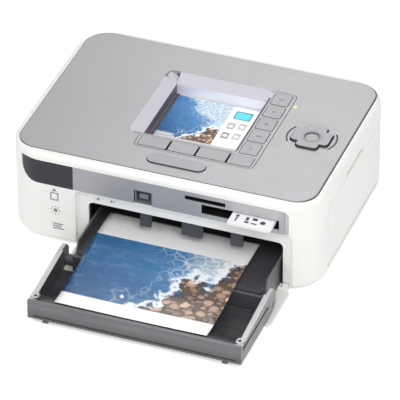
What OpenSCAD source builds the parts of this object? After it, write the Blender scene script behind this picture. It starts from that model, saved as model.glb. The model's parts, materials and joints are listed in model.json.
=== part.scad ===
// Compact photo printer with its paper cassette in place.
// X runs to the printer's right, Y to its back, Z up. The sizes below are counted from
// the middle of the printer body; placed() then sets the origin on the table under the
// middle of the whole, with the cassette's lid folded out.

/* [Body] */
// Width of the printer body
body_w = 178; // [176:0.5:184]
// Depth of the printer body
body_d = 127; // [126:0.5:132]
// Height of the case above its feet
case_h = 56; // [55.6:0.1:57]
// Radius of the upright corners
corner_r = 21; // [17:0.5:22]
// Radius of the case's lower edge
bottom_r = 4; // [2:0.5:5]
// Radius of the case's upper edge
top_r = 3; // [2:0.1:3.5]
// Wall thickness of the case
wall = 2; // [1.6:0.1:2.2]
// Height of the parting line between lower and upper case
seam_z = 45; // [44.8:0.1:46]
// Height of the rubber feet
foot_h = 1.4; // [1.2:0.1:2]
// Diameter of the rubber feet
foot_d = 12; // [8:0.5:14]

/* [Top] */
// Margin of the silver panel at the sides and the back
panel_margin = 4; // [3:0.1:5]
// Margin of the silver panel at the front
panel_front_margin = 4.6; // [4:0.1:6]
// Radius of the silver panel's corners
panel_corner_r = 12; // [11:0.5:16]
// Thickness of the silver panel
panel_t = 1.7; // [1.4:0.1:2]
// How far the silver panel stands above the case's rim
panel_rise = 0.2; // [0:0.1:0.4]
// Width of the display's well
well_w = 62; // [60:0.5:63]
// Depth of the display's well from front to back
well_d = 63.6; // [63:0.1:64]
// How deep the display lies below the panel
well_depth = 9.6; // [9:0.1:10]
// Width of the soft bevel at the well's left and back
bevel_w = 6.5; // [5:0.1:7]
// Width of the visible picture
screen_w = 51; // [48:0.5:51.5]
// Height of the visible picture
screen_h = 38.5; // [36:0.5:40]

/* [Keys] */
// How far the keys rise above the panel
key_rise = 0.7; // [0.4:0.1:1]
// Travel of every key
key_travel = 0.6; // [0.4:0.1:0.8]
// Clearance round every key
key_gap = 0.35; // [0.3:0.01:0.45]
// Number of keys beside the display
side_keys = 5; // [5]
// Pitch of the keys beside the display
side_pitch = 12.4; // [12:0.1:12.8]
// Length of the print key
print_key_l = 33; // [28:0.5:36]
// Width of the print key
print_key_w = 8.5; // [7:0.1:9]
// Span of the direction key
dpad_span = 21; // [20:0.5:22]
// Width of the direction key's arms
dpad_arm = 12; // [11.4:0.1:12.4]

/* [Front] */
// Lower edge of the front band
band_z0 = 37.9; // [37.6:0.1:38.2]
// Upper edge of the front band
band_z1 = 52.7; // [52:0.1:53]
// Left end of the front band
band_left = -79.5; // [-80:0.1:-78]
// Right end of the front band
band_right = 73.7; // [72:0.1:74]
// Depth that the band is let in
band_t = 1.6; // [1.4:0.1:1.8]
// Left edge of the cassette's mouth
mouth_x0 = -41; // [-41.5:0.1:-40.8]
// Right edge of the cassette's mouth
mouth_x1 = 70.4; // [70.2:0.1:71]
// Upper edge of the cassette's mouth
mouth_z1 = 30.8; // [30:0.1:31.5]
// Length of the folded-down front door
door_l = 35; // [33:0.5:36]
// Thickness of the front door
door_t = 1.6; // [1.4:0.1:1.7]

/* [Cassette] */
// Width of the paper tray
tray_w = 108.5; // [107.5:0.1:109]
// Height of the paper tray
tray_h = 9.6; // [9:0.1:10]
// Front end of the paper tray
tray_front = -89; // [-89.5:0.1:-88.5]
// Back end of the paper tray
tray_back = 34.4; // [34.2:0.1:35]
// Width over the folded-out lid
lid_w = 120.4; // [119.6:0.1:122]
// Front of the folded-out lid
lid_front = -134.8; // [-137:0.1:-132]
// Height of the folded-out lid's walls
lid_h = 11; // [10:0.1:12]
// Width of the photo paper
paper_w = 86; // [84:0.5:90]
// Length of the photo paper
paper_l = 119; // [117:0.5:119.5]
// Thickness of the paper stack
stack_t = 2.2; // [1.5:0.1:2.3]
// How far the tray's side rims stand above its cover
tray_rim = 6; // [5:0.1:6.4]
// How far the lid's sides rise towards the pivot
lid_rise = 3.4; // [2.5:0.1:4]

/* [Mechanism] */
// Radius of the platen roller
platen_r = 5; // [4.6:0.1:5]
// Radius of the feed roller
feed_r = 4; // [3.6:0.1:4]
// Radius of the pickup roller's tyres
pickup_r = 6; // [5.6:0.1:6]
// Gear module
gear_m = 0.8; // [0.8]
// Radial clearance of the shafts in their bearings
bearing_gap = 0.05; // [0.02:0.01:0.09]
// Thickness of the chassis plates
plate_t = 1.2; // [1:0.1:1.4]
// Radius of the ribbon cartridge's two chambers
chamber_r = 7.5; // [7.2:0.1:7.6]

/* [Hidden] */
$fn = 48;
eps = 0.01;
reach = 80;
half_w = body_w / 2;
half_d = body_d / 2;
case_z0 = foot_h;
case_z1 = case_z0 + case_h;
panel_z1 = case_z1 + panel_rise;
panel_z0 = panel_z1 - panel_t;
ledge_t = 1.6;
panel_gap = 0.45;
key_z1 = panel_z1 + key_rise;
front_y = -half_d;
inner_y = half_d - wall;
inner_x = half_w - wall;

// Places of the case's screws, of the feet and of the main board's posts
post_left = [half_w - 10, half_d - 10.5];
post_right = [half_w - 8.5, half_d - 9];
post_points = [[-post_left[0], -post_left[1]], [-post_left[0], post_left[1]],
    [post_right[0], post_right[1]], [post_right[0], -post_right[1]]];
foot_at = [half_w - 23, half_d - 15.5];
foot_points = [[-foot_at[0], -foot_at[1]], [-foot_at[0], foot_at[1]],
    [foot_at[0], foot_at[1]], [foot_at[0], -foot_at[1]]];
main_board_x = [-74.4, -36];
main_board_y = [-45, 46];
main_board_z = 44.2;
main_board_t = 1.6;
peg_x = [main_board_x[0] + 3.4, main_board_x[0] + 18.4];
peg_y = [main_board_y[0] + 4, 12];
screw_d = 2.5;
post_d = 6.4;

// Display well: its left edge, its back edge and the level of the display
well_x0 = -31;
well_x1 = well_x0 + well_w;
well_y1 = 36;
well_r = 4;
well_y0 = well_y1 - well_d;
well_z = panel_z1 - well_depth;
screen_x = well_x0 + bevel_w + 0.5 + screen_w / 2;
screen_y = well_y1 - bevel_w - 1.6 - screen_h / 2;
module_t = 4;

// Key places on the panel
key_z0 = panel_z0 - 1;
side_key_x = 37.3;
side_key_w = 9.8;
side_key_l = side_pitch - 1.4;
side_key_y1 = 28.8;
low_rise = 0.15;
front_key_y = -33;
front_key_d = 8.8;
front_key_cuts = [-22.4, -5.2, 11, 28.8, 43];
front_key_split = 0.45;
strip_edge = 1.3;
strip_x0 = front_key_cuts[0] - strip_edge;
strip_x1 = front_key_cuts[4] + strip_edge;
strip_y0 = front_key_y - front_key_d / 2 - strip_edge;
strip_y1 = side_key_y1 + side_key_l / 2 + strip_edge;
groove_w = 0.4;
groove_t = 0.4;
ring_r = 13.2;
print_key_pos = [4.4, -47];
dpad_pos = [64.7, 0.3];
led_pos = [46.7, 24.8];
board_z = panel_z0 - 5.5;
board_t = 1.4;
board_x0 = -27;
board_x1 = 77.2;
board_y0 = print_key_pos[1] - 10;
board_post_points = [[board_x0 + 3, board_y0 + 3], [30, board_y0 + 3.4],
    [board_x1 - 4.2, board_y0 + 9], [60, well_y1 - 1]];
flange = 0.9;
small_flange = 0.5;
switch_z = board_z + board_t + 0.9;
set_r = 3.6;
flange_t = 0.8;

// Front band and its slots
band_low_r = 9.2;
band_high_r = 4;
window_x = -49;
slot_up = [15.3, 38.4, 47.6, 50.2];
slot_low = [24.8, 68.6, 40.6, 46.4];
card_w = 24;
card_l = 32;
card_t = 2.1;
card_x = 54.6;
card_z = 43.6;
card_out = 9;
connector_x = [slot_up[0] - 2.3, slot_low[1] + 2.8];
connector_z = [slot_low[2] - 1.2, slot_up[3] - 0.4];
connector_back = 6.7;
connector_wall = 1;
usb_x = -8.6;
usb_z = 42.3;
usb_w = 8.45;
usb_h = 7.3;

// Power inlet and cooling slots at the back
vent_x = -66;
vent_pitch = 4.6;
vent_w = 1.8;
vent_z = [36.6, 42.6];
inlet_x = -60;
inlet_z = 29.5;

// Cassette
cass_x = 14.6;
tray_z0 = case_z0 + wall + 0.5;
tray_wall = 1.8;
tray_floor = 1.5;
rear_wall_h = 5.4;
cover_back = -20;
rib_pitch = 18;
tray_x0 = cass_x - tray_w / 2;
tray_x1 = cass_x + tray_w / 2;
tray_z1 = tray_z0 + tray_h;
rim_t = 1;
rim_y0 = tray_front + 5;
lid_x = cass_x - 1.5;
lid_x0 = lid_x - lid_w / 2;
lid_x1 = lid_x + lid_w / 2;
lid_z0 = 3.2;
lid_t = 1.6;
lid_side = 3;
lid_ear = 2.2;
lid_front_t = 2.4;
lid_z1 = lid_z0 + lid_h;
lid_z2 = lid_z1 + lid_rise;
lug_gap = 0.5;
boss_in = 2.7;
sheet_x = 9.4;
sheet_t = 0.3;
// the sheet's side line [y, z], from the lid's ramp over the cover into the mouth
sheet_line = [[lid_front + 4.6, 13], [lid_front + 22, 12.5], [tray_front - 5, 14.2],
    [tray_front + 9, 16], [cover_back - 24, 16.4]];
sheet_n = len(sheet_line);
lid_pivot = [-86, 8.4];
lid_pin_r = 1.5;
lid_back = tray_front - 1.8;
ear_back = -81;
lift_z = tray_z0 + tray_floor + 0.4;
lift_t = 0.7;
lift_w = 78;
lift_pivot_y = -40;
tongue_w = 8;
tongue_x = [cass_x - 34.6, cass_x + 27.4];
stack_z = lift_z + lift_t + 0.1;

// Front door
door_x0 = -47.6;
door_x1 = 75.4;
door_z = 0.3;
door_pivot = [front_y + 3, 3];
door_pin_r = 0.8;
door_ear = [2, 4.8];
front_frame_t = 1.3;
door_recess = door_t + 0.3;

// Ink door on the right side
ink_y = 42;
ink_frame = 1.5;
ink_z0 = 7;
ink_z1 = seam_z - 0.4;
ink_t = 1.2;
ink_barrel_r = 2.4;
ink_pivot = [half_w - ink_barrel_r, ink_z0 + ink_barrel_r - 1];
ink_pin_r = 1.1;

// Rollers and ribbon: [y, z] of each axis
paper_z = 25;
platen_pos = [2, paper_z - platen_r];
feed_pos = [18, paper_z - feed_r];
pinch_r = 3;
pinch_shaft_r = 1.5;
pinch_pos = [18, paper_z + 0.35 + pinch_r];
pickup_pos = [-10, 17];
supply_pos = [32, 34.5];
takeup_pos = [-32, 34.5];
head_pivot = [-15, 33];
head_shaft_r = 1.5;
spool_r = 2.5;
chassis_x0 = -43.6;
chassis_x1 = 72.8;
chassis_y0 = -42;
chassis_y1 = 42;
chassis_z0 = 3.6;
chassis_z1 = [42.6, 37];
bar_z = [24, 33];
back_bar_z = [31, 36];
cart_x0 = -41;
cart_x1 = 80;
roller_x0 = -37.5;
roller_x1 = 67;
shaft_r = 2;

// Gear train on the left plate
gear_w = 4;
gear_x = chassis_x0 - plate_t - 0.6 - gear_w;
feed_teeth = 28;
motor_teeth = 12;
idler_teeth = 40;
takeup_teeth = 22;
motor_dir = -30;
motor_pos = feed_pos + polar((feed_teeth + motor_teeth) * gear_m / 2, motor_dir);
feed_idler_d = (feed_teeth + idler_teeth) * gear_m / 2;
idler_takeup_d = (idler_teeth + takeup_teeth) * gear_m / 2;
feed_takeup = takeup_pos - feed_pos;
feed_takeup_d = norm(feed_takeup);
feed_takeup_dir = atan2(feed_takeup[1], feed_takeup[0]);
idler_angle = acos((feed_idler_d * feed_idler_d + feed_takeup_d * feed_takeup_d
    - idler_takeup_d * idler_takeup_d) / (2 * feed_idler_d * feed_takeup_d));
idler_dir = feed_takeup_dir + idler_angle;
idler_pos = feed_pos + polar(feed_idler_d, idler_dir);
idler_takeup = takeup_pos - idler_pos;
idler_takeup_dir = atan2(idler_takeup[1], idler_takeup[0]);

// Shift that brings the middle of the whole over the origin
set_back = -(lid_front + half_d) / 2;

function polar(r, a) = [r * cos(a), r * sin(a)];
// Turn of a gear so that one of its gaps faces direction a
function gap_at(teeth, a) = a + 180 / teeth;

// ---------- shared shapes ----------

module placed() {
    translate([0, set_back, 0])
        children();
}

// Half section of a slab with rounded lower and upper edges, from the axis outwards
module slab_section(h, r, low_r, high_r) {
    difference() {
        square([r, h]);
        translate([r - low_r, 0])
            square(low_r);
        translate([r - high_r, h - high_r])
            square(high_r);
    }
    translate([r - low_r, low_r])
        circle(low_r);
    translate([r - high_r, h - high_r])
        circle(high_r);
}

// Slab with round upright corners and round edges, centred in X and Y, standing on z = 0
module soft_slab(w, d, h, r, low_r, high_r) {
    sx = w / 2 - r;
    sy = d / 2 - r;
    for (turn = [0:3]) {
        odd = turn % 2;
        rotate([0, 0, turn * 90])
            translate([odd ? sy : sx, odd ? sx : sy, 0])
                rotate_extrude(angle = 90, $fn = 96)
                    slab_section(h, r, low_r, high_r);
        rotate([0, 0, turn * 90])
            translate([odd ? sy : sx, 0, 0])
                rotate([90, 0, 0])
                    linear_extrude(odd ? 2 * sx : 2 * sy, center = true)
                        slab_section(h, r, low_r, high_r);
    }
    translate([-sx, -sy, 0])
        cube([2 * sx, 2 * sy, h]);
}

// Rectangle with round corners given by its limits
module round_rect(x0, x1, y0, y1, r) {
    translate([x0 + r, y0])
        square([x1 - x0 - 2 * r, y1 - y0]);
    translate([x0, y0 + r])
        square([x1 - x0, y1 - y0 - 2 * r]);
    for (x = [x0 + r, x1 - r])
        for (y = [y0 + r, y1 - r])
            translate([x, y])
                circle(r);
}

// Plate with round corners between two levels
module round_plate(x0, x1, y0, y1, z0, z1, r) {
    translate([0, 0, z0])
        linear_extrude(z1 - z0)
            round_rect(x0, x1, y0, y1, r);
}

// Block between two corners
module block(x0, x1, y0, y1, z0, z1) {
    translate([x0, y0, z0])
        cube([x1 - x0, y1 - y0, z1 - z0]);
}

// Cylinder along X from x0 to x1 at [y, z]
module rod_x(pos, r, x0, x1) {
    translate([x0, pos[0], pos[1]])
        rotate([0, 90, 0])
            cylinder(r = r, h = x1 - x0);
}

// Cylinder along Y from y0 to y1 at [x, z]
module rod_y(pos, r, y0, y1) {
    translate([pos[0], y1, pos[1]])
        rotate([90, 0, 0])
            cylinder(r = r, h = y1 - y0);
}

// Outline in the Y-Z plane, carried from x0 to x1
module side_profile(x0, x1) {
    translate([x0, 0, 0])
        rotate([90, 0, 90])
            linear_extrude(x1 - x0)
                children();
}

// Outline in the X-Z plane, carried from y0 to y1
module front_profile(y0, y1) {
    translate([0, y1, 0])
        rotate([90, 0, 0])
            linear_extrude(y1 - y0)
                children();
}

// Spur gear in the Y-Z plane; turn puts one tooth on that direction
module gear(pos, teeth, turn, x0, bore_r) {
    pitch_r = teeth * gear_m / 2;
    tip_r = pitch_r + 0.75 * gear_m;
    root_r = pitch_r - 1.05 * gear_m;
    half_root = 0.62 * gear_m;
    half_tip = 0.3 * gear_m;
    translate([x0, pos[0], pos[1]])
        rotate([90, 0, 90])
            linear_extrude(gear_w)
                difference() {
                    union() {
                        circle(root_r, $fn = 64);
                        for (i = [0:teeth - 1])
                            rotate(turn + i * 360 / teeth)
                                polygon([[root_r - 0.6, -half_root], [root_r, -half_root],
                                    [tip_r, -half_tip], [tip_r, half_tip],
                                    [root_r, half_root], [root_r - 0.6, half_root]]);
                    }
                    circle(bore_r);
                }
}

// The whole case as one closed form
module case_form() {
    translate([0, 0, case_z0])
        soft_slab(body_w, body_d, case_h, corner_r, bottom_r, top_r);
}

// The hollow inside the case
module case_hollow() {
    translate([0, 0, case_z0 + wall])
        soft_slab(body_w - 2 * wall, body_d - 2 * wall, case_h - 2 * wall,
            corner_r - wall, bottom_r - wall / 2, top_r / 2);
}

// Plan outline of the case drawn in by a distance
module case_outline(inset) {
    round_rect(-half_w + inset, half_w - inset, -half_d + inset, half_d - inset,
        corner_r - inset);
}

// The front band seen from the front: a wide round at its lower left, a small one at
// its upper right
module band_outline(grow) {
    x0 = band_left - grow;
    x1 = band_right + grow;
    z0 = band_z0 - grow;
    z1 = band_z1 + grow;
    translate([x0 + band_low_r, z0])
        square([x1 - x0 - band_low_r, z1 - z0 - band_high_r]);
    translate([x0, z0 + band_low_r])
        square([x1 - x0 - band_high_r, z1 - z0 - band_low_r]);
    intersection() {
        translate([x0 + band_low_r, z0 + band_low_r])
            circle(band_low_r);
        translate([x0, z0])
            square([band_low_r + eps, band_low_r + eps]);
    }
    translate([x1 - band_high_r, z1 - band_high_r])
        circle(band_high_r);
}

// ---------- case ----------

module lower_case() {
    color("#f1f0ea") placed() {
        difference() {
            case_form();
            case_hollow();
            block(-body_w, body_w, -body_d, body_d, seam_z, reach);
            // recess for the front door, as deep as the door is thick
            front_profile(front_y - 1, front_y + door_recess)
                round_rect(door_x0 - 0.4, door_x1 + 0.4, case_z0 - 6, band_z0 - 0.6, 3);
            // mouth for the cassette
            front_profile(front_y - 1, front_y + 6)
                mouth_shape();
            // seat of the front band
            band_cut();
            band_windows();
            // opening of the ink door, its barrel and the recess of its flange
            block(half_w - ink_t - 0.1, half_w + 1, -ink_y, ink_y, ink_z0 + 1, seam_z + 1);
            block(inner_x - 1, half_w, -ink_y + ink_frame, ink_y - ink_frame, ink_z0 + 4, seam_z + 1);
            ink_pin_bores();
            block(inner_x - 1, half_w + 1, -ink_y, ink_y, ink_pivot[1] - ink_barrel_r - 0.3,
                ink_pivot[1] + ink_barrel_r + 0.3);
            // print path at the back
            front_profile(inner_y - 1, half_d + 1)
                round_rect(cass_x - paper_w / 2 - 4, cass_x + paper_w / 2 + 4, paper_z - 3.4,
                    paper_z + 4.6, 2);
            // power inlet
            rear_inlet_cut();
            // cooling slots at the back
            for (i = [0:6])
                block(vent_x + i * vent_pitch, vent_x + i * vent_pitch + vent_w, inner_y - 1,
                    half_d + 1, vent_z[0], vent_z[1]);
            door_hinge_cut();
            foot_sockets();
            screw_holes();
        }
        case_posts();
        front_frame();
        ink_hinge_posts();
    }
}

// Mouth for the cassette: round above, square where the tray's floor runs in
module mouth_shape() {
    round_rect(mouth_x0, mouth_x1, mouth_z1 - 14, mouth_z1, 3);
    translate([mouth_x0, case_z0 + wall - eps])
        square([mouth_x1 - mouth_x0, mouth_z1 - case_z0 - wall - 4]);
}

// Backing of the thin front wall round the mouth
module front_frame() {
    difference() {
        block(door_x0 - 1, door_x1 - 0.9, front_y + door_recess, front_y + door_recess + front_frame_t,
            case_z0 + wall - eps, band_z0 - 0.6);
        front_profile(front_y - 1, front_y + 6)
            mouth_shape();
        door_hinge_cut();
    }
}

// Room for the front door's ears, and the bores of its pins
module door_hinge_cut() {
    for (x = [door_x0 + door_ear[0] - 0.3, door_x1 - door_ear[1] - 0.3])
        block(x, x + door_ear[1] - door_ear[0] + 0.6, front_y - 1, door_pivot[0] + 2.5,
            case_z0 - 1, 5.4);
    for (x = [door_x0 - 0.4, door_x1 - 3])
        rod_x(door_pivot, door_pin_r + bearing_gap, x, x + 3.4);
}

// Bosses that take the case screws
module case_posts() {
    for (p = post_points)
        translate([p[0], p[1], case_z0 + wall - eps])
            difference() {
                cylinder(d = post_d, h = seam_z - case_z0 - wall);
                translate([0, 0, -wall])
                    cylinder(d = screw_d + 0.1, h = seam_z);
            }
    // pegs under the main board
    for (x = peg_x)
        for (y = peg_y)
            translate([x, y, case_z0 + wall - eps])
                cylinder(d = 4, h = main_board_z - case_z0 - wall);
}

// Ears inside the case that carry the ink door's pins
module ink_hinge_posts() {
    difference() {
        for (side = [0, 1])
            mirror([0, side, 0])
                block(half_w - 6, half_w - wall - 0.3, ink_y + 0.1, ink_y + 3.2,
                    case_z0 + wall - eps, ink_pivot[1] + 2.4);
        ink_pin_bores();
    }
}

module ink_pin_bores() {
    for (side = [0, 1])
        mirror([0, side, 0])
            rod_y(ink_pivot, ink_pin_r + bearing_gap, ink_y - 1, ink_y + 3);
}

module screw_holes() {
    for (p = post_points)
        translate([p[0], p[1], 0])
            cylinder(d = screw_d + 0.1, h = 10);
}

module foot_sockets() {
    for (p = foot_points)
        translate([p[0], p[1], case_z0 - 1])
            cylinder(d = foot_d + 0.2, h = 1.6);
}

module rear_inlet_cut() {
    block(inlet_x - 5.2, inlet_x + 5.2, inner_y - 1, half_d + 1, inlet_z - 4.7, inlet_z + 4.7);
}

module band_cut() {
    difference() {
        front_profile(front_y - 1, -40)
            band_outline(0.1);
        linear_extrude(reach)
            case_outline(band_t);
    }
}

// Openings behind the band for cards and the socket
module band_windows() {
    block(slot_up[0], slot_up[1], front_y - 1, front_y + 6, slot_up[2], slot_up[3]);
    block(slot_low[0], slot_low[1], front_y - 1, front_y + 6, slot_low[2], slot_low[3]);
    block(usb_x - usb_w / 2 - 1, usb_x + usb_w / 2 + 1, front_y - 1, front_y + 6,
        usb_z - usb_h / 2 - 0.8, usb_z + usb_h / 2 + 0.8);
}

module upper_case() {
    ledge_z = panel_z0 - 0.05;
    color("#f3f2ee") placed() {
        difference() {
            union() {
                difference() {
                    case_form();
                    case_hollow();
                    block(-body_w, body_w, -body_d, body_d, 0, seam_z);
                }
                // ledge that carries the silver panel
                translate([0, 0, ledge_z - ledge_t])
                    linear_extrude(ledge_t)
                        case_outline(wall - 0.5);
            }
            translate([0, 0, ledge_z])
                linear_extrude(reach)
                    panel_outline(-panel_gap);
            translate([0, 0, seam_z])
                linear_extrude(reach)
                    panel_outline(2.6);
            band_cut();
            band_windows();
            // finger notch over the ink door
            side_notch();
        }
        for (p = post_points)
            translate([p[0], p[1], seam_z])
                difference() {
                    cylinder(d = post_d, h = ledge_z - ledge_t - seam_z + eps);
                    translate([0, 0, -1])
                        cylinder(d = screw_d + 0.1, h = 6);
                }
    }
}
module side_notch() {
    translate([half_w - 1.3, 0, 0])
        rotate([90, 0, 90])
            linear_extrude(3)
                round_rect(-12.7, 16, seam_z - 1, seam_z + 3.4, 1.2);
}

// Plan outline of the silver panel
module panel_outline(inset) {
    round_rect(-half_w + panel_margin + inset, half_w - panel_margin - inset,
        -half_d + panel_front_margin + inset, half_d - panel_margin - inset,
        panel_corner_r - inset);
}

module top_panel() {
    color("#c3c5c9") placed() {
        // posts that carry the key board
        for (p = board_post_points)
            translate([p[0], p[1], board_z + board_t])
                cylinder(d = 3.6, h = panel_z0 - board_z - board_t + eps);
        difference() {
            translate([0, 0, panel_z0])
                linear_extrude(panel_t)
                    difference() {
                        panel_outline(0);
                        round_rect(well_x0 - 0.1, well_x1 + 0.1, well_y0 - 0.1, well_y1 + 0.1, well_r);
                        for (i = [1:side_keys])
                            side_key_plan(i, key_gap);
                        // the front keys share one opening
                        front_keys_plan(key_gap);
                        print_key_plan(key_gap);
                        translate(dpad_pos)
                            dpad_plan(key_gap + 0.4);
                        translate(led_pos)
                            circle(1.05);
                    }
            // fine groove round the strip of keys
            translate([0, 0, panel_z1 - groove_t])
                linear_extrude(groove_t + 1)
                    difference() {
                        key_strip(groove_w);
                        key_strip(0);
                    }
            // two arcs beside the direction key
            translate([dpad_pos[0], dpad_pos[1], panel_z1 - groove_t])
                linear_extrude(groove_t + 1)
                    intersection() {
                        difference() {
                            circle(ring_r + 1);
                            circle(ring_r);
                        }
                        square([4 * ring_r, dpad_arm + 3], center = true);
                    }
        }
    }
}

module front_band() {
    color("#a3a5ab") placed()
        difference() {
            band_body();
            block(-body_w, window_x, -body_d, 0, 0, reach);
            band_windows();
        }
}

module ir_window() {
    color("#3e3e44") placed()
        intersection() {
            band_body();
            block(-body_w, window_x - 0.1, -body_d, 0, 0, reach);
        }
}

module band_body() {
    intersection() {
        front_profile(front_y - 1, -50)
            band_outline(0);
        linear_extrude(reach)
            difference() {
                case_outline(0);
                case_outline(band_t - 0.1);
            }
    }
}

// ---------- display ----------

module lcd_bezel() {
    slope = bevel_w + 0.5;
    color("#9c9da8") placed()
        difference() {
            round_plate(well_x0, well_x1, well_y0, well_y1, well_z - module_t - 1.2, panel_z1, well_r);
            // pocket over the window
            block(well_x0 + slope, well_x1 - 1, well_y0 + 1.2, well_y1 - slope, well_z, panel_z1 + 1);
            // bevels at the left and the back
            front_profile(well_y0 + 1.2, well_y1 + 1)
                polygon([[well_x0 + 0.4, panel_z1 + eps], [well_x0 + slope + eps, panel_z1 - 3.4],
                    [well_x0 + slope + eps, panel_z1 + eps]]);
            side_profile(well_x0 - 1, well_x1 - 1)
                polygon([[well_y1 - 0.4, panel_z1 + eps], [well_y1 - slope - eps, panel_z1 - 3.4],
                    [well_y1 - slope - eps, panel_z1 + eps]]);
            // seats of the window and the module below it
            window_block(0.05, 0.1);
            module_block(0.05, 2);
        }
}

module window_block(grow, drop) {
    block(well_x0 + bevel_w + 0.5 + 0.2 - grow, well_x1 - 1.2 + grow, well_y0 + 1.4 - grow,
        well_y1 - bevel_w - 0.7 + grow, well_z - 1 - drop, well_z + drop);
}

module module_block(grow, drop) {
    block(screen_x - screen_w / 2 - 1.4 - grow, well_x1 - 2 + grow,
        screen_y - screen_h / 2 - 6 - grow, screen_y + screen_h / 2 + 0.9 + grow,
        well_z - 1.1 - module_t - drop, well_z - 1.1);
}

module lcd_module() {
    color("#39618c") placed()
        module_block(0, 0);
}

module lcd_window() {
    color("#cfd8e2") placed()
        window_block(0, 0);
}

// ---------- keys ----------

module side_key_plan(i, grow) {
    y = side_key_y1 - (i - 1) * side_pitch;
    round_rect(side_key_x - side_key_w / 2 - grow, side_key_x + side_key_w / 2 + grow,
        y - side_key_l / 2 - grow, y + side_key_l / 2 + grow, 1 + grow);
}

module front_key_plan(i, grow) {
    round_rect(front_key_cuts[i - 1] + front_key_split - grow,
        front_key_cuts[i] - front_key_split + grow,
        front_key_y - front_key_d / 2, front_key_y + front_key_d / 2, 0.8);
}

module front_keys_plan(grow) {
    round_rect(front_key_cuts[0] + front_key_split - grow, front_key_cuts[4] - front_key_split + grow,
        front_key_y - front_key_d / 2 - grow, front_key_y + front_key_d / 2 + grow, 0.8 + grow);
}

// The L-shaped strip that holds the keys beside and before the display
module key_strip(grow) {
    round_rect(well_x1 - 2, strip_x1 + grow, strip_y0 - grow, strip_y1 + grow, 3 + grow);
    round_rect(strip_x0 - grow, strip_x1 + grow, strip_y0 - grow, well_y0 + 2, 3 + grow);
}

module print_key_plan(grow) {
    round_rect(print_key_pos[0] - print_key_l / 2 - grow, print_key_pos[0] + print_key_l / 2 + grow,
        print_key_pos[1] - print_key_w / 2 - grow, print_key_pos[1] + print_key_w / 2 + grow,
        print_key_w / 2 - 0.1 + grow);
}

module dpad_plan(grow) {
    round_rect(-dpad_span / 2 - grow, dpad_span / 2 + grow, -dpad_arm / 2 - grow,
        dpad_arm / 2 + grow, 2 + grow);
    round_rect(-dpad_arm / 2 - grow, dpad_arm / 2 + grow, -dpad_span / 2 - grow,
        dpad_span / 2 + grow, 2 + grow);
}

// Key cap with a flange under the panel and a stem above its switch
module key_cap(z1, stem) {
    translate([0, 0, key_z0])
        linear_extrude(z1 - key_z0)
            children(0);
    translate([0, 0, key_z0 - flange_t])
        linear_extrude(flange_t + 0.4)
            children(1);
    translate([stem[0], stem[1], switch_z + key_travel + 0.1])
        cylinder(r = 1.6, h = key_z0 - switch_z - key_travel);
}
module side_key(i) {
    color("#a9abb4") placed()
        key_cap(panel_z1 + low_rise, [side_key_x, side_key_y1 - (i - 1) * side_pitch]) {
            side_key_plan(i, 0);
            side_key_plan(i, small_flange);
        }
}

module front_key(i) {
    color("#b4b6bd") placed()
        key_cap(panel_z1 + low_rise, [(front_key_cuts[i - 1] + front_key_cuts[i]) / 2, front_key_y]) {
            front_key_plan(i, 0);
            // the flange leaves room for the display's frame and the next key
            translate([0, -small_flange])
                front_key_plan(i, front_key_split - 0.2);
        }
}

module print_key() {
    color("#b9bbc1") placed()
        key_cap(key_z1, print_key_pos) {
            print_key_plan(0);
            print_key_plan(flange);
        }
}

module direction_key() {
    color("#b0b2ba") placed() {
        translate([dpad_pos[0], dpad_pos[1], key_z0]) {
            difference() {
                linear_extrude(key_z1 - key_z0 + 0.5)
                    difference() {
                        dpad_plan(0);
                        circle(set_r + key_gap);
                    }
                // dished top
                translate([0, 0, key_z1 - key_z0 + 30])
                    sphere(r = 30.1, $fn = 96);
            }
            translate([0, 0, -flange_t])
                linear_extrude(flange_t + 0.2)
                    difference() {
                        square(dpad_span + 3, center = true);
                        circle(set_r + key_gap + 0.8);
                    }
        }
    }
}
module set_key() {
    color("#c9cbd0") placed()
        translate([dpad_pos[0], dpad_pos[1], 0]) {
            translate([0, 0, key_z0 - 0.6])
                cylinder(r = set_r, h = key_z1 - key_z0 + 0.3);
            translate([0, 0, switch_z + key_travel + 0.1])
                cylinder(r = 1.6, h = key_z0 - switch_z - key_travel - 0.6);
        }
}

module status_light() {
    color("#c9dd5a") placed()
        translate([led_pos[0], led_pos[1], 0]) {
            translate([0, 0, board_z + board_t + 1.2])
                cylinder(r = 0.95, h = panel_z1 + 0.25 - board_z - board_t - 1.2);
            translate([0, 0, board_z + board_t + 1.2])
                cylinder(r = 1.6, h = 0.8);
        }
}

module tact_switch(p) {
    translate([p[0] - 2.2, p[1] - 2.2, board_z + board_t])
        cube([4.4, 4.4, 0.6]);
    translate([p[0], p[1], board_z + board_t])
        cylinder(r = 1.2, h = 0.9);
}

module key_board() {
    color("#2f6b45") placed()
        translate([0, 0, board_z])
            linear_extrude(board_t) {
                round_rect(board_x0, board_x1, board_y0, well_y0 - 2, 1);
                round_rect(well_x1 + 1.4, board_x1, well_y0 - 12, well_y1 + 2, 1);
            }
    color("#2b2b2e") placed() {
        for (i = [1:side_keys])
            tact_switch([side_key_x, side_key_y1 - (i - 1) * side_pitch]);
        for (i = [1:4])
            tact_switch([(front_key_cuts[i - 1] + front_key_cuts[i]) / 2, front_key_y]);
        tact_switch(print_key_pos);
        tact_switch(dpad_pos);
        for (d = [[9, 0], [-9, 0], [0, 9], [0, -9]])
            tact_switch(dpad_pos + d);
        tact_switch(led_pos);
    }
}

// ---------- electronics and sockets ----------

module main_board() {
    z = main_board_z + main_board_t;
    color("#2f6b45") placed()
        round_plate(main_board_x[0], main_board_x[1], main_board_y[0], main_board_y[1],
            main_board_z, z, 2);
    color("#26262a") placed() {
        block(-66, -52, 6, 20, z - eps, z + 1.6);
        block(-72, -64, -22, -10, z - eps, z + 1.4);
        block(-48, -40, -30, -14, z - eps, z + 2.8);
        for (i = [0:2])
            translate([-68 + i * 9, 36, z - eps])
                cylinder(r = 3.2, h = 6);
    }
}

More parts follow.
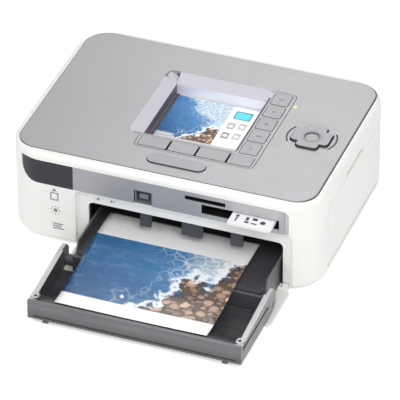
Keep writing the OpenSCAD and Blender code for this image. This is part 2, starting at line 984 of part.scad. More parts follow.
module card_connector() {
    // its back stays clear of the ribbon cartridge
    y1 = takeup_pos[0] - connector_back;
    color("#6c6e74") placed()
        difference() {
            block(connector_x[0], connector_x[1], front_y + 3.4, y1, connector_z[0], connector_z[1]);
            block(slot_up[0], slot_up[1], front_y, y1 - connector_wall, slot_up[2],
                slot_up[3] - 0.8);
            block(slot_low[0], slot_low[1], front_y, y1 - connector_wall, slot_low[2] + 0.4,
                slot_low[3]);
        }
}

module memory_card() {
    x0 = card_x - card_w / 2;
    y0 = front_y - card_out;
    color("#e8e8ea") placed()
        difference() {
            block(x0, x0 + card_w, y0, y0 + card_l, card_z, card_z + card_t);
            // chamfered corner and finger groove
            translate([x0 + card_w, y0 + card_l, card_z - 1])
                rotate([0, 0, 45])
                    translate([-3, -3, 0])
                        cube([6, 6, 4]);
            block(x0 + 4, x0 + card_w - 4, y0 + 1.6, y0 + 2.4, card_z + card_t - 0.3, card_z + card_t + 1);
        }
}

module usb_socket() {
    y0 = front_y + 0.6;
    color("#a9adb3") placed()
        difference() {
            block(usb_x - usb_w / 2 - 0.6, usb_x + usb_w / 2 + 0.6, y0, y0 + 12,
                usb_z - usb_h / 2 - 0.5, usb_z + usb_h / 2 + 0.5);
            block(usb_x - usb_w / 2, usb_x + usb_w / 2, y0 - 1, y0 + 10,
                usb_z - usb_h / 2, usb_z + usb_h / 2);
        }
    color("#e6e6e8") placed()
        block(usb_x - 2.6, usb_x + 2.6, y0 + 1, y0 + 11, usb_z - 1.5, usb_z + 1.5);
}

module dc_inlet() {
    color("#2a2a2d") placed()
        difference() {
            block(inlet_x - 5, inlet_x + 5, half_d - 12, half_d - 0.3, inlet_z - 4.5, inlet_z + 4.5);
            rod_y([inlet_x, inlet_z], 3, half_d - 10, half_d + 1);
        }
    color("#c8c4b4") placed()
        rod_y([inlet_x, inlet_z], 0.9, half_d - 11, half_d - 2);
}

module rubber_feet() {
    color("#2b2b2b") placed()
        for (p = foot_points)
            translate([p[0], p[1], 0])
                cylinder(d = foot_d, h = foot_h + 0.5);
}

module case_screws() {
    color("#8c8f94") placed()
        for (p = post_points)
            translate([p[0], p[1], case_z0 + 0.3]) {
                difference() {
                    cylinder(d = screw_d, h = seam_z + 4 - case_z0);
                    translate([0, 0, -1])
                        cylinder(d = 1.2, h = 2, $fn = 6);
                }
            }
}

// ---------- print mechanism ----------

module chassis() {
    color("#9a9da2") placed() {
        chassis_plate(chassis_x0 - plate_t, chassis_z1[0])
            bearing_hole(takeup_pos, spool_r, chassis_x0 - plate_t);
        // stud that the idler turns on
        rod_x(idler_pos, shaft_r - bearing_gap, gear_x - 0.3, chassis_x0 - plate_t + eps);
        rod_x(idler_pos, shaft_r + 1.4, gear_x + gear_w + 0.3, chassis_x0 - plate_t + eps);
        // the right plate is open at the top, where the ribbon cartridge slides in
        chassis_plate(chassis_x1, chassis_z1[1])
            for (p = [supply_pos, takeup_pos]) {
                rod_x(p, chamber_r + 0.4, chassis_x1 - 1, chassis_x1 + plate_t + 1);
                block(chassis_x1 - 1, chassis_x1 + plate_t + 1, p[0] - chamber_r - 0.4,
                    p[0] + chamber_r + 0.4, p[1], reach);
            }
        // cross bars that hold the two plates apart
        block(chassis_x0 - eps, chassis_x1 + eps, chassis_y0 + 0.6, chassis_y0 + 0.6 + plate_t,
            bar_z[0], bar_z[1]);
        block(chassis_x0 - eps, chassis_x1 + eps, chassis_y1 - 0.6 - plate_t, chassis_y1 - 0.6,
            back_bar_z[0], back_bar_z[1]);
        block(chassis_x0 - eps, chassis_x1 + eps, 22, 38, 15, 15 + plate_t);
        motor_bracket();
    }
}

// Side plate with the bearing holes of the rollers
module chassis_plate(x, z1) {
    difference() {
        side_profile(x, x + plate_t)
            round_rect(chassis_y0, chassis_y1, chassis_z0, z1, 2);
        bearing_hole(platen_pos, shaft_r, x);
        bearing_hole(feed_pos, shaft_r, x);
        bearing_hole(pinch_pos, pinch_shaft_r, x);
        bearing_hole(pickup_pos, shaft_r, x);
        bearing_hole(head_pivot, head_shaft_r, x);
        children();
    }
}

module bearing_hole(pos, r, x) {
    rod_x(pos, r + bearing_gap, x - 1, x + plate_t + 1);
}

// Plate outside the gears that carries the motor
module motor_bracket() {
    x = gear_x - 1.4 - plate_t;
    difference() {
        side_profile(x, x + plate_t)
            round_rect(motor_pos[0] - 10.4, motor_pos[0] + 10.4, motor_pos[1] - 9.2,
                motor_pos[1] + 10.4, 3);
        rod_x(motor_pos, 3.2, x - 1, x + plate_t + 1);
    }
    for (y = [motor_pos[0] - 8.4, motor_pos[0] + 8.4])
        rod_x([y, motor_pos[1] - 7], 1.2, x + eps, chassis_x0 - plate_t + eps);
}

module sheet_guide() {
    color("#46464e") placed() {
        block(mouth_x0 + 1, mouth_x1 - 1, front_y + 3.6, front_y + 5.4, 30, 36);
        block(mouth_x0 + 1, mouth_x1 - 1, front_y + 3.6, front_y + 14, 31.2, 32.4);
        for (f = [[-8.6, 6.6], [18, 12], [43.6, 7]])
            side_profile(f[0] - f[1] / 2, f[0] + f[1] / 2)
                polygon([[front_y + 3.6, 33], [front_y + 5.4, 33], [front_y + 5.4, 24.6],
                    [front_y + 4, 21.4], [front_y + 3, 21.4], [front_y + 3.6, 25]]);
    }
}

module platen_roller() {
    color("#2d2d30") placed()
        rod_x(platen_pos, platen_r, roller_x0, roller_x1);
    color("#b5b8bd") placed()
        rod_x(platen_pos, shaft_r, chassis_x0 - plate_t - 0.2, chassis_x1 + plate_t + 0.2);
}

module feed_roller() {
    color("#a8abb0") placed()
        rod_x(feed_pos, feed_r, roller_x0, roller_x1);
    color("#b5b8bd") placed()
        rod_x(feed_pos, shaft_r, gear_x - 0.8, chassis_x1 + plate_t + 0.4);
}

module pinch_roller() {
    color("#3a3a3e") placed()
        for (x = [-30, 2, 34])
            rod_x(pinch_pos, pinch_r, x, x + 26);
    color("#b5b8bd") placed()
        rod_x(pinch_pos, pinch_shaft_r, chassis_x0 - plate_t - 0.2, chassis_x1 + plate_t + 0.2);
}

module pickup_roller() {
    color("#77797e") placed()
        for (x = [-8, 23])
            difference() {
                rod_x(pickup_pos, pickup_r, x, x + 14);
                // flat that lets the sheet pass after the pick
                translate([x - 1, pickup_pos[0] - 8, pickup_pos[1] + pickup_r - 1.2])
                    cube([16, 16, 4]);
            }
    color("#b5b8bd") placed()
        rod_x(pickup_pos, shaft_r, chassis_x0 - plate_t - 0.2, chassis_x1 + plate_t + 0.2);
}

module thermal_head() {
    y = platen_pos[0];
    color("#8f9297") placed()
        difference() {
            side_profile(-35, 65)
                polygon([[y - 12, 30], [y - 2.6, 26.6], [y + 4, 26.6], [y + 6, 27.6], [y + 6, 33],
                    [y - 12, 36]]);
            // channels of the heat sink
            for (i = [0:3])
                block(-36, 66, y - 9.6 + i * 4.2, y - 7.4 + i * 4.2, 30.6, 40);
        }
    color("#d8d2c4") placed()
        rod_x([y, 26.75], 0.5, -34, 64);
    color("#7c7f84") placed()
        for (x = [-34, 62])
            difference() {
                union() {
                    side_profile(x, x + 2)
                        polygon([[y - 18.6, 30.6], [y - 11, 29.4], [y - 6, 30.4], [y - 11, 35.4],
                            [y - 17, 36]]);
                    rod_x(head_pivot, 3, x, x + 2);
                }
                rod_x(head_pivot, head_shaft_r + bearing_gap, x - 1, x + 3);
            }
}

module head_shaft() {
    color("#b5b8bd") placed()
        rod_x(head_pivot, head_shaft_r, chassis_x0 - plate_t - 0.2, chassis_x1 + plate_t + 0.2);
}

module drive_motor() {
    x1 = gear_x - 1.4 - plate_t;
    color("#6f7277") placed()
        difference() {
            rod_x(motor_pos, 9.2, x1 - 22, x1);
            rod_x(motor_pos, 1.2, x1 - 4, x1 + 1);
        }
}

module motor_pinion() {
    color("#c9a54a") placed()
        gear(motor_pos, motor_teeth, gap_at(motor_teeth, motor_dir + 180), gear_x, 1);
    color("#b5b8bd") placed()
        rod_x(motor_pos, 1.1, gear_x - 3.6, gear_x + gear_w + 0.2);
}

module feed_gear() {
    color("#e4e1d6") placed()
        gear(feed_pos, feed_teeth, motor_dir, gear_x, shaft_r);
}

// The feed gear's tooth nearest the idler settles the idler's turn
function tooth_offset(teeth, turn, dir) =
    let (pitch = 360 / teeth) ((dir - turn) % pitch + pitch) % pitch;

feed_offset = tooth_offset(feed_teeth, motor_dir, idler_dir);
idler_turn = gap_at(idler_teeth, idler_dir + 180) + feed_offset * feed_teeth / idler_teeth;
idler_offset = tooth_offset(idler_teeth, idler_turn, idler_takeup_dir);
takeup_turn = gap_at(takeup_teeth, idler_takeup_dir + 180)
    + idler_offset * idler_teeth / takeup_teeth;

module idler_gear() {
    color("#e4e1d6") placed()
        gear(idler_pos, idler_teeth, idler_turn, gear_x, shaft_r);
}

module takeup_gear() {
    color("#e4e1d6") placed()
        gear(takeup_pos, takeup_teeth, takeup_turn, gear_x, 2);
    color("#d0cdc2") placed()
        rod_x(takeup_pos, 2.4, gear_x - 0.4, chassis_x0 + 1);
}

module chamber(pos) {
    difference() {
        rod_x(pos, chamber_r, cart_x0, cart_x1 - 3);
        rod_x(pos, chamber_r - 1.2, cart_x0 + 1.2, cart_x1 - 4.2);
        rod_x(pos, spool_r + 0.08, cart_x0 - 1, cart_x1 + 1);
    }
}

module ribbon_cartridge() {
    color("#4f5259") placed() {
        difference() {
            chamber(supply_pos);
            // slit where the film leaves, facing the head
            block(cart_x0 + 4, cart_x1 - 8, supply_pos[0] - 10, supply_pos[0] - 4,
                supply_pos[1] + 1.2, supply_pos[1] + 3.4);
        }
        difference() {
            chamber(takeup_pos);
            block(cart_x0 + 4, cart_x1 - 8, takeup_pos[0] + 2, takeup_pos[0] + 5,
                takeup_pos[1] - 10, takeup_pos[1] - 4);
        }
        // end rails that join the two chambers
        for (x = [cart_x0 + 0.2, cart_x1 - 5])
            difference() {
                block(x, x + 1.8, takeup_pos[0], supply_pos[0], 37.6, 41.4);
                for (p = [supply_pos, takeup_pos])
                    rod_x(p, chamber_r - 1.3, x - 1, x + 4);
            }
        // grip at the right end
        block(cart_x1 - 5, cart_x1, -14, 14, 33, 40);
    }
}

module spool(pos, wound_r) {
    color("#d9d6cc") placed()
        rod_x(pos, spool_r, cart_x0 - 0.4, cart_x1 - 1.4);
    color("#3b3244") placed()
        rod_x(pos, wound_r, cart_x0 + 5, cart_x1 - 10);
}

module supply_spool() {
    spool(supply_pos, 5.2);
}

module takeup_spool() {
    color("#d9d6cc") placed()
        rod_x(takeup_pos, spool_r, chassis_x0 + 1.1, cart_x1 - 1.4);
    color("#3b3244") placed()
        rod_x(takeup_pos, 3.8, cart_x0 + 5, cart_x1 - 10);
}

// Film between the chambers, under the head
module ribbon_film() {
    color("#5b4a6a") placed()
        side_profile(cart_x0 + 5.5, cart_x1 - 10)
            polygon([[takeup_pos[0] + 3, 28.9], [takeup_pos[0] + 4, 28.3], [platen_pos[0] - 4, 26.1],
                [platen_pos[0] + 4.5, 26.1], [supply_pos[0] - 6.6, 37.2], [supply_pos[0] - 6.6, 37],
                [platen_pos[0] + 4.6, 25.98], [platen_pos[0] - 4, 25.98],
                [takeup_pos[0] + 3.8, 28.16]]);
}

// ---------- doors ----------

module ink_door() {
    y1 = ink_y - 0.3;
    color("#ecebe5") placed() {
        block(half_w - ink_t, half_w, -y1, y1, ink_pivot[1], ink_z1);
        // stiffening rib and finger lip
        block(half_w - ink_t - 1.6, half_w - ink_t + eps, -ink_y + 5, ink_y - 5, 43, 44.4);
        // barrel along the lower edge
        difference() {
            rod_y(ink_pivot, ink_barrel_r, -y1, y1);
            for (side = [0, 1])
                mirror([0, side, 0])
                    rod_y(ink_pivot, ink_pin_r - 0.02, y1 - 5, y1 + 1);
        }
    }
}

module ink_door_pins() {
    color("#8c8f94") placed()
        for (side = [0, 1])
            mirror([0, side, 0])
                rod_y(ink_pivot, ink_pin_r, ink_y - 5, ink_y + 2.8);
}

module front_door() {
    color("#f1f0ea") placed() {
        difference() {
            round_plate(door_x0, door_x1, door_pivot[0] - door_l, door_pivot[0] - 3.4,
                door_z, door_z + door_t, 2);
            block(door_x0 + 12, door_x1 - 12, door_pivot[0] - door_l + 4,
                door_pivot[0] - door_l + 6, door_z + door_t - 0.5, 5);
        }
        for (x = [door_x0 + door_ear[0], door_x1 - door_ear[1]])
            difference() {
                side_profile(x, x + door_ear[1] - door_ear[0])
                    polygon([[door_pivot[0] - 6, door_z], [door_pivot[0] - 2, door_z],
                        [door_pivot[0] + 1.9, 1.6], [door_pivot[0] + 1.9, 4.4],
                        [door_pivot[0] - 1, 4.8], [door_pivot[0] - 3.4, door_z + door_t],
                        [door_pivot[0] - 6, door_z + door_t]]);
                rod_x(door_pivot, door_pin_r - 0.02, x - 1, x + 5);
            }
    }
}

module front_door_pins() {
    color("#8c8f94") placed()
        for (s = [0, 1])
            rod_x(door_pivot, door_pin_r, s ? door_x1 - door_ear[1] + 0.4 : door_x0,
                s ? door_x1 : door_x0 + door_ear[1] - 0.4);
}

// ---------- paper cassette ----------

module cassette_tray() {
    color("#54575c") placed()
        difference() {
            union() {
                difference() {
                    block(tray_x0, tray_x1, tray_front, tray_back, tray_z0, tray_z1);
                    block(tray_x0 + tray_wall, tray_x1 - tray_wall, tray_front + 2, tray_back - 2,
                        tray_z0 + tray_floor, tray_z1 + 1);
                    // low back so that the stack can be picked
                    block(tray_x0 + 8, tray_x1 - 8, tray_back - 3, tray_back + 1,
                        tray_z0 + rear_wall_h, tray_z1 + 1);
                }
                // bosses of the lid's pivot
                rod_x(lid_pivot, 3.2, lid_x0 + lid_ear + lug_gap, tray_x0 + eps);
                rod_x(lid_pivot, 3.2, tray_x1 - eps, lid_x1 - lid_ear - lug_gap);
                // side rims that guide the finished prints
                for (x = [tray_x0, tray_x1 - rim_t])
                    side_profile(x, x + rim_t)
                        polygon([[rim_y0, tray_z1 - eps], [rim_y0 + 3, tray_z1 + tray_rim],
                            [cover_back - 1.6, tray_z1 + tray_rim], [cover_back - 1, tray_z1 - eps]]);
                // side rails that keep the stack in line
                for (side = [-1, 1])
                    block(cass_x + side * (paper_w / 2 + 1.4) - 0.6,
                        cass_x + side * (paper_w / 2 + 1.4) + 0.6, tray_front + 6, tray_back - 8,
                        tray_z0 + tray_floor - eps, tray_z1 - 3);
            }
            for (x = [tray_x0, tray_x1])
                rod_x(lid_pivot, lid_pin_r + bearing_gap, x - 6, x + 6);
            // slots of the lift plate's hinge tongues
            for (x = tongue_x)
                block(x, x + tongue_w, lift_pivot_y - 1, lift_pivot_y + 1.4, tray_z0 + 0.6,
                    tray_z0 + tray_floor + 1);
        }
}

module cassette_cover() {
    z = tray_z1 + 0.1;
    color("#63666c") placed()
        difference() {
            union() {
                round_plate(tray_x0 + rim_t + 0.2, tray_x1 - rim_t - 0.2, tray_front + 2, cover_back,
                    z, z + 1.2, 2);
                // ribs that stiffen the cover
                for (i = [-2:2])
                    block(cass_x + i * rib_pitch, cass_x + i * rib_pitch + 1, tray_front + 8,
                        cover_back - 11, z - 1, z + eps);
            }
            // finger opening
            translate([cass_x, cover_back, z - 2])
                cylinder(r = 10, h = 5);
        }
}

module lift_plate() {
    color("#a2a5a9") placed() {
        round_plate(cass_x - lift_w / 2, cass_x + lift_w / 2, lift_pivot_y, 20, lift_z,
            lift_z + lift_t, 1);
        // tongues that hold it in the tray's floor
        for (x = tongue_x)
            block(x + 0.5, x + tongue_w - 0.5, lift_pivot_y - 0.4, lift_pivot_y + 0.8,
                tray_z0 + 0.9, lift_z + 0.1);
    }
}

module paper_stack() {
    color("#f7f6f2") placed()
        block(cass_x - paper_w / 2, cass_x + paper_w / 2, tray_front + 2.2,
            tray_front + 2.2 + paper_l, stack_z, stack_z + stack_t);
}

module cassette_lid() {
    color("#6a6d72") placed()
        difference() {
            union() {
                // floor and front wall
                block(lid_x0, lid_x1, lid_front, lid_back, lid_z0, lid_z0 + lid_t);
                block(lid_x0, lid_x1, lid_front, lid_front + lid_front_t, lid_z0, lid_z1);
                // ramp that lifts the print's front edge
                side_profile(lid_x0 + eps, lid_x1 - eps)
                    polygon([[lid_front + 1, lid_z0 + 1], [lid_front + 1, lid_z1 - 1.2],
                        [lid_front + 2, lid_z1 - 1.3], [lid_front + 11, lid_z1 - 3],
                        [lid_front + 19, lid_z0 + lid_t - eps], [lid_front + 19, lid_z0 + 1]]);
                // side walls, higher towards the pivot, with the ears beside the tray
                for (side = [0, 1]) {
                    side_profile(side ? lid_x1 - lid_side : lid_x0, side ? lid_x1 : lid_x0 + lid_side)
                        polygon([[lid_front, lid_z0], [lid_back, lid_z0], [lid_back, lid_z2],
                            [lid_front + 9, lid_z1], [lid_front, lid_z1]]);
                    side_profile(side ? lid_x1 - lid_ear : lid_x0, side ? lid_x1 : lid_x0 + lid_ear)
                        polygon([[lid_back - 4, lid_z0], [ear_back - 2.4, lid_z0 + 1.4],
                            [ear_back, lid_z0 + 3.6], [ear_back, lid_z2 - 4],
                            [ear_back - 3, lid_z2 - 0.4], [lid_back - 1, lid_z2], [lid_back - 4, lid_z1]]);
                    // round latch boss at each front corner
                    translate([side ? lid_x1 - boss_in : lid_x0 + boss_in, lid_front + 5.4, lid_z0 + 1])
                        cylinder(r = 2.6, h = lid_z1 + 0.3 - lid_z0 - 1);
                }
                // feet under the front corners
                for (x = [lid_x0 + 8, lid_x1 - 11])
                    block(x, x + 3, lid_front + 1, lid_front + 4, 0.8, lid_z0 + eps);
            }
            rod_x(lid_pivot, lid_pin_r - 0.02, lid_x0 - 1, lid_x1 + 1);
            for (side = [0, 1]) {
                translate([side ? lid_x1 - boss_in : lid_x0 + boss_in, lid_front + 5.4, lid_z1 - 1.2])
                    cylinder(r = 0.9, h = 2);
                // groove under the rim of the side walls
                block(side ? lid_x1 - 1 : lid_x0 - 1, side ? lid_x1 + 1 : lid_x0 + 1, lid_front + 3,
                    lid_back - 2, lid_z1 - 4, lid_z1 - 2);
            }
            // groove along the front's lower edge
            block(lid_x0 + 3, lid_x1 - 3, lid_front - 1, lid_front + 0.9, lid_z0 + 1.2, lid_z0 + 2.4);
        }
}

module lid_pins() {
    color("#8c8f94") placed()
        for (side = [0, 1])
            rod_x(lid_pivot, lid_pin_r, side ? tray_x1 - 1.4 : lid_x0 + 0.3,
                side ? lid_x1 - 0.3 : tray_x0 + 1.4);
}

module printed_sheet() {
    color("#7fb0dc") placed()
        side_profile(sheet_x - paper_w / 2, sheet_x + paper_w / 2)
            polygon([for (i = [0:2 * sheet_n - 1]) i < sheet_n ? sheet_line[i]
                : sheet_line[2 * sheet_n - 1 - i] + [0, sheet_t]]);
}

lower_case();
upper_case();
top_panel();
front_band();
ir_window();
lcd_bezel();
lcd_module();
lcd_window();
side_key(1);  // side_key_1
side_key(2);  // side_key_2
side_key(3);  // side_key_3
side_key(4);  // side_key_4
side_key(5);  // side_key_5
front_key(1);  // front_key_1
front_key(2);  // front_key_2
front_key(3);  // front_key_3
front_key(4);  // front_key_4
print_key();
direction_key();
set_key();
status_light();
key_board();
main_board();
card_connector();
memory_card();
usb_socket();
dc_inlet();
rubber_feet();
case_screws();
chassis();
sheet_guide();
platen_roller();
feed_roller();
pinch_roller();
pickup_roller();
thermal_head();
head_shaft();
drive_motor();
motor_pinion();
feed_gear();
idler_gear();
takeup_gear();
ribbon_cartridge();
supply_spool();
takeup_spool();
ribbon_film();
ink_door();
ink_door_pins();
front_door();
front_door_pins();
cassette_tray();
cassette_cover();
lift_plate();
paper_stack();
cassette_lid();
lid_pins();
printed_sheet();
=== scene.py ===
import bpy
import bmesh
import json
import math
from mathutils import Matrix, Vector
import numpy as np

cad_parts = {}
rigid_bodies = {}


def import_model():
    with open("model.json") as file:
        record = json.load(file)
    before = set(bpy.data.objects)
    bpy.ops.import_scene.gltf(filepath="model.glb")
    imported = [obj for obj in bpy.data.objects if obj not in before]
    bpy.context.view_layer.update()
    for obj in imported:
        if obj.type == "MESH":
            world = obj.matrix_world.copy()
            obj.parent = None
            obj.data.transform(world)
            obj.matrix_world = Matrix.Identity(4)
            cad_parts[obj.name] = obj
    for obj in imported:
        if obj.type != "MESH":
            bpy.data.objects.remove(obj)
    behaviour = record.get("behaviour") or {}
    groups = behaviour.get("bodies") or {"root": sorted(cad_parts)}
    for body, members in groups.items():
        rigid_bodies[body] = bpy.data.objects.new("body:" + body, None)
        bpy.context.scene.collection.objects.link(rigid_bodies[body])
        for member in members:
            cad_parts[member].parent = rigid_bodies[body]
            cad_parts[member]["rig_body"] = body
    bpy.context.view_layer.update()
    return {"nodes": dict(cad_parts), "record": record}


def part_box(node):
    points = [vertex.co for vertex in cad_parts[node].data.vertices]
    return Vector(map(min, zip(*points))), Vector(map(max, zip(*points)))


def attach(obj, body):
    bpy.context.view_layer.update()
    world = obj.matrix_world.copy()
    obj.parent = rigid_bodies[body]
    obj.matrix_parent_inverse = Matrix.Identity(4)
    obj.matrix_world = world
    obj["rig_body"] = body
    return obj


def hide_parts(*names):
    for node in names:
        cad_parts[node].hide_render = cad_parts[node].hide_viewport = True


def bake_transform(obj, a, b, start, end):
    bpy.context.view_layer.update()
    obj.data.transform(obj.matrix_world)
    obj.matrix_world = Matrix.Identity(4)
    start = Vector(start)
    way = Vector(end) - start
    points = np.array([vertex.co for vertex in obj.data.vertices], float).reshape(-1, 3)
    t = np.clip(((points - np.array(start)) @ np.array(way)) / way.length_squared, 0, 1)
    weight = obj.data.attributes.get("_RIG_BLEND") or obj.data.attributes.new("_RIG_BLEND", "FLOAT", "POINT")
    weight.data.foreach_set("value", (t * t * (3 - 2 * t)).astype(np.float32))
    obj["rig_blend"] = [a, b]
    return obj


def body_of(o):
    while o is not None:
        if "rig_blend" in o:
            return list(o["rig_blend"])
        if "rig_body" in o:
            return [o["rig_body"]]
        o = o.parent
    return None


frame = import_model()
NODES = frame["nodes"]
MM = 0.001


def box_mm(node):
    """A node's box in millimetres, with the middle of the case as the zero of x and y."""
    lo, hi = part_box(node)
    return ((lo - MIDDLE) / MM, (hi - MIDDLE) / MM)


def case_middle():
    lo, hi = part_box("upper_case")
    return Vector(((lo.x + hi.x) / 2, (lo.y + hi.y) / 2, 0))


MIDDLE = case_middle()


def spot(x, y, z):
    """A place given in millimetres from the middle of the case, in the frame's metres."""
    return MIDDLE + Vector((x, y, z)) * MM


# ---------- camera ----------

def add_camera():
    """The photograph's own view: place and turn were fitted to the printer's edges."""
    right = Vector((0.93694957, 0.34944507, -0.00369465))
    up = Vector((-0.20003187, 0.54494452, 0.81426207))
    back = Vector((0.28655325, -0.76218345, 0.58048569))
    data = bpy.data.cameras.new("photo_view")
    data.lens = 379.05
    data.sensor_width = 36
    data.clip_start = 0.1
    data.clip_end = 20
    cam = bpy.data.objects.new("photo_view", data)
    turn = Matrix((right, up, back)).transposed().to_4x4()
    cam.matrix_world = Matrix.Translation(spot(665.8459, -1770.6548, 1349.3419)) @ turn
    bpy.context.scene.collection.objects.link(cam)
    bpy.context.scene.camera = cam


# ---------- material nodes ----------

def rgba(c):
    return (c[0], c[1], c[2], 1.0)


def srgb(r, g, b):
    """A colour judged on the 0-255 scale, as a linear one."""
    return tuple(((v / 255 + 0.055) / 1.055) ** 2.4 if v > 10 else v / 255 / 12.92
                 for v in (r, g, b))


def grey(v, tint=0):
    """A grey on the 0-255 scale, with a little more blue where tint says so."""
    return srgb(v, v, v + tint)


def shade(c, k):
    return tuple(min(1.0, v * k) for v in c)


WHITE_PLASTIC = srgb(238, 238, 234)


class Surface:
    """A material whose colour is laid up in layers, with short names for its nodes."""

    def __init__(self, name):
        self.mat = bpy.data.materials.new(name)
        self.mat.use_nodes = True
        self.tree = self.mat.node_tree
        self.tree.nodes.clear()
        out = self.node("ShaderNodeOutputMaterial")
        self.shader = self.node("ShaderNodeBsdfPrincipled")
        self.link(self.shader.outputs[0], out.inputs[0])
        self.colour = None

    def node(self, kind, **values):
        n = self.tree.nodes.new(kind)
        for key, value in values.items():
            setattr(n, key, value)
        return n

    def link(self, a, b):
        self.tree.links.new(a, b)

    def put(self, value, socket):
        """Sets a socket to a number or colour, or links another node's output to it."""
        if isinstance(value, (int, float, tuple, list)):
            socket.default_value = value
        else:
            self.link(value, socket)

    def math(self, op, a, b=0.0, c=0.0, clamp=False):
        n = self.node("ShaderNodeMath", operation=op, use_clamp=clamp)
        for value, socket in zip((a, b, c), n.inputs):
            self.put(value, socket)
        return n.outputs[0]

    def product(self, masks):
        out = masks[0]
        for m in masks[1:]:
            out = self.math("MULTIPLY", out, m)
        return out

    def flip(self, mask):
        return self.math("SUBTRACT", 1.0, mask)

    def coords(self, kind="Object"):
        return self.node("ShaderNodeTexCoord").outputs[kind]

    def split(self, vector):
        """The three numbers of a vector or colour."""
        n = self.node("ShaderNodeSeparateXYZ")
        self.link(vector, n.inputs[0])
        return n.outputs

    def stretched(self, vector, scale):
        n = self.node("ShaderNodeMapping")
        n.inputs["Scale"].default_value = scale
        self.link(vector, n.inputs["Vector"])
        return n.outputs[0]

    def warped(self, vector, scale, amount):
        """The vector pushed about by a noise, so that what it draws isn't straight."""
        n = self.node("ShaderNodeTexNoise")
        self.link(vector, n.inputs["Vector"])
        n.inputs["Scale"].default_value = scale
        push = self.node("ShaderNodeVectorMath", operation="MULTIPLY_ADD")
        self.link(n.outputs["Color"], push.inputs[0])
        push.inputs[1].default_value = (amount,) * 3
        self.link(vector, push.inputs[2])
        return push.outputs[0]

    def noise(self, scale, detail=3.0, rough=0.5, vector=None, bend=0.0):
        n = self.node("ShaderNodeTexNoise")
        self.link(vector or self.coords(), n.inputs["Vector"])
        n.inputs["Scale"].default_value = scale
        n.inputs["Detail"].default_value = detail
        n.inputs["Roughness"].default_value = rough
        n.inputs["Distortion"].default_value = bend
        return n.outputs["Fac"]

    def cells(self, scale, feature="F1", vector=None, output="Distance"):
        n = self.node("ShaderNodeTexVoronoi", feature=feature)
        self.link(vector or self.coords(), n.inputs["Vector"])
        n.inputs["Scale"].default_value = scale
        return n.outputs[output]

    def span(self, value, low, high, to_low=0.0, to_high=1.0):
        """The value's run from low to high drawn out to to_low to to_high, and held there."""
        n = self.node("ShaderNodeMapRange", clamp=True)
        self.link(value, n.inputs["Value"])
        for key, v in (("From Min", low), ("From Max", high),
                       ("To Min", to_low), ("To Max", to_high)):
            n.inputs[key].default_value = v
        return n.outputs["Result"]

    def mix(self, fac, a, b):
        n = self.node("ShaderNodeMix", data_type="RGBA")
        self.put(fac, n.inputs[0])
        for value, socket in ((a, n.inputs[6]), (b, n.inputs[7])):
            self.put(rgba(value) if isinstance(value, tuple) else value, socket)
        return n.outputs[2]

    def lay(self, colour, mask):
        """Paint one more layer over the colour so far."""
        self.colour = self.mix(mask, self.colour, colour)

    def between(self, value, low, high, soft):
        """1 from low to high, with soft ends."""
        return self.math("MULTIPLY", self.span(value, low - soft, low + soft),
                         self.span(value, high - soft, high + soft, 1.0, 0.0))

    def place(self):
        """x, y and z in millimetres from the middle of the case."""
        n = self.node("ShaderNodeVectorMath", operation="MULTIPLY_ADD")
        self.link(self.coords(), n.inputs[0])
        n.inputs[1].default_value = (1 / MM,) * 3
        n.inputs[2].default_value = -MIDDLE / MM
        return self.split(n.outputs[0])

    def facing(self, axis):
        """1 where the surface looks along the axis, 0 where it looks across or away."""
        n = self.node("ShaderNodeVectorMath", operation="DOT_PRODUCT")
        self.link(self.coords("Normal"), n.inputs[0])
        n.inputs[1].default_value = axis
        return self.span(n.outputs["Value"], 0.45, 0.75)

    def region(self, lo, hi, soft=0.15, axes="xyz"):
        """A mask for a box in millimetres; an axis left out isn't tested."""
        place = self.place()
        return self.product([self.between(place[i], lo[i], hi[i], soft)
                             for i, axis in enumerate("xyz") if axis in axes])

    def worn_and_lit_edges(self, radius, amount):
        """A mask along edges, broken up as handling leaves them, for rims made paler partly by handling and
        partly as a painted highlight.
        """
        edge = self.node("ShaderNodeBevel", samples=4)
        edge.inputs["Radius"].default_value = radius * MM
        dot = self.node("ShaderNodeVectorMath", operation="DOT_PRODUCT")
        self.link(edge.outputs[0], dot.inputs[0])
        self.link(self.node("ShaderNodeNewGeometry").outputs["Normal"], dot.inputs[1])
        rim = self.span(dot.outputs["Value"], 0.995, 0.93)
        return self.product([rim, self.span(self.noise(300.0), 0.3, 0.6), amount])

    def gloss(self, rough, vary):
        """Roughness, with smudges that change it a little."""
        smudge = self.noise(90.0, 5.0, 0.65)
        self.link(self.span(smudge, 0.28, 0.72, rough - vary, rough + vary),
                  self.shader.inputs["Roughness"])

    def bump(self, height, strength, distance=0.2):
        n = self.node("ShaderNodeBump")
        self.link(height, n.inputs["Height"])
        n.inputs["Strength"].default_value = strength
        n.inputs["Distance"].default_value = distance * MM
        self.link(n.outputs[0], self.shader.inputs["Normal"])

    def done(self):
        self.link(self.colour, self.shader.inputs["Base Color"])
        return self.mat


# ---------- plain finishes ----------

def moulded(name, colour, rough, depth=0.05, vary=0.015, wear_and_sheen=0.0, spec=0.5, layers=None):
    """Moulded plastic: a spark-eroded grain, faint flow marks, smudges, and paler edges, partly scuffed by
    handling and partly a painted highlight.
    """
    s = Surface(name)
    flow = s.noise(26.0, 4.0, 0.6, s.stretched(s.coords(), (1.0, 0.5, 2.0)))
    s.colour = s.mix(s.span(flow, 0.3, 0.7), shade(colour, 1 - vary), shade(colour, 1 + vary))
    if layers:
        layers(s)
    if wear_and_sheen:
        # paler edges: partly scuffed by handling, partly a painted highlight
        s.lay(shade(colour, 1.7), s.worn_and_lit_edges(0.45, wear_and_sheen))
    s.gloss(rough, 0.05)
    s.shader.inputs["Specular IOR Level"].default_value = spec
    s.bump(s.noise(2600.0, 2.0), depth)
    return s.done()


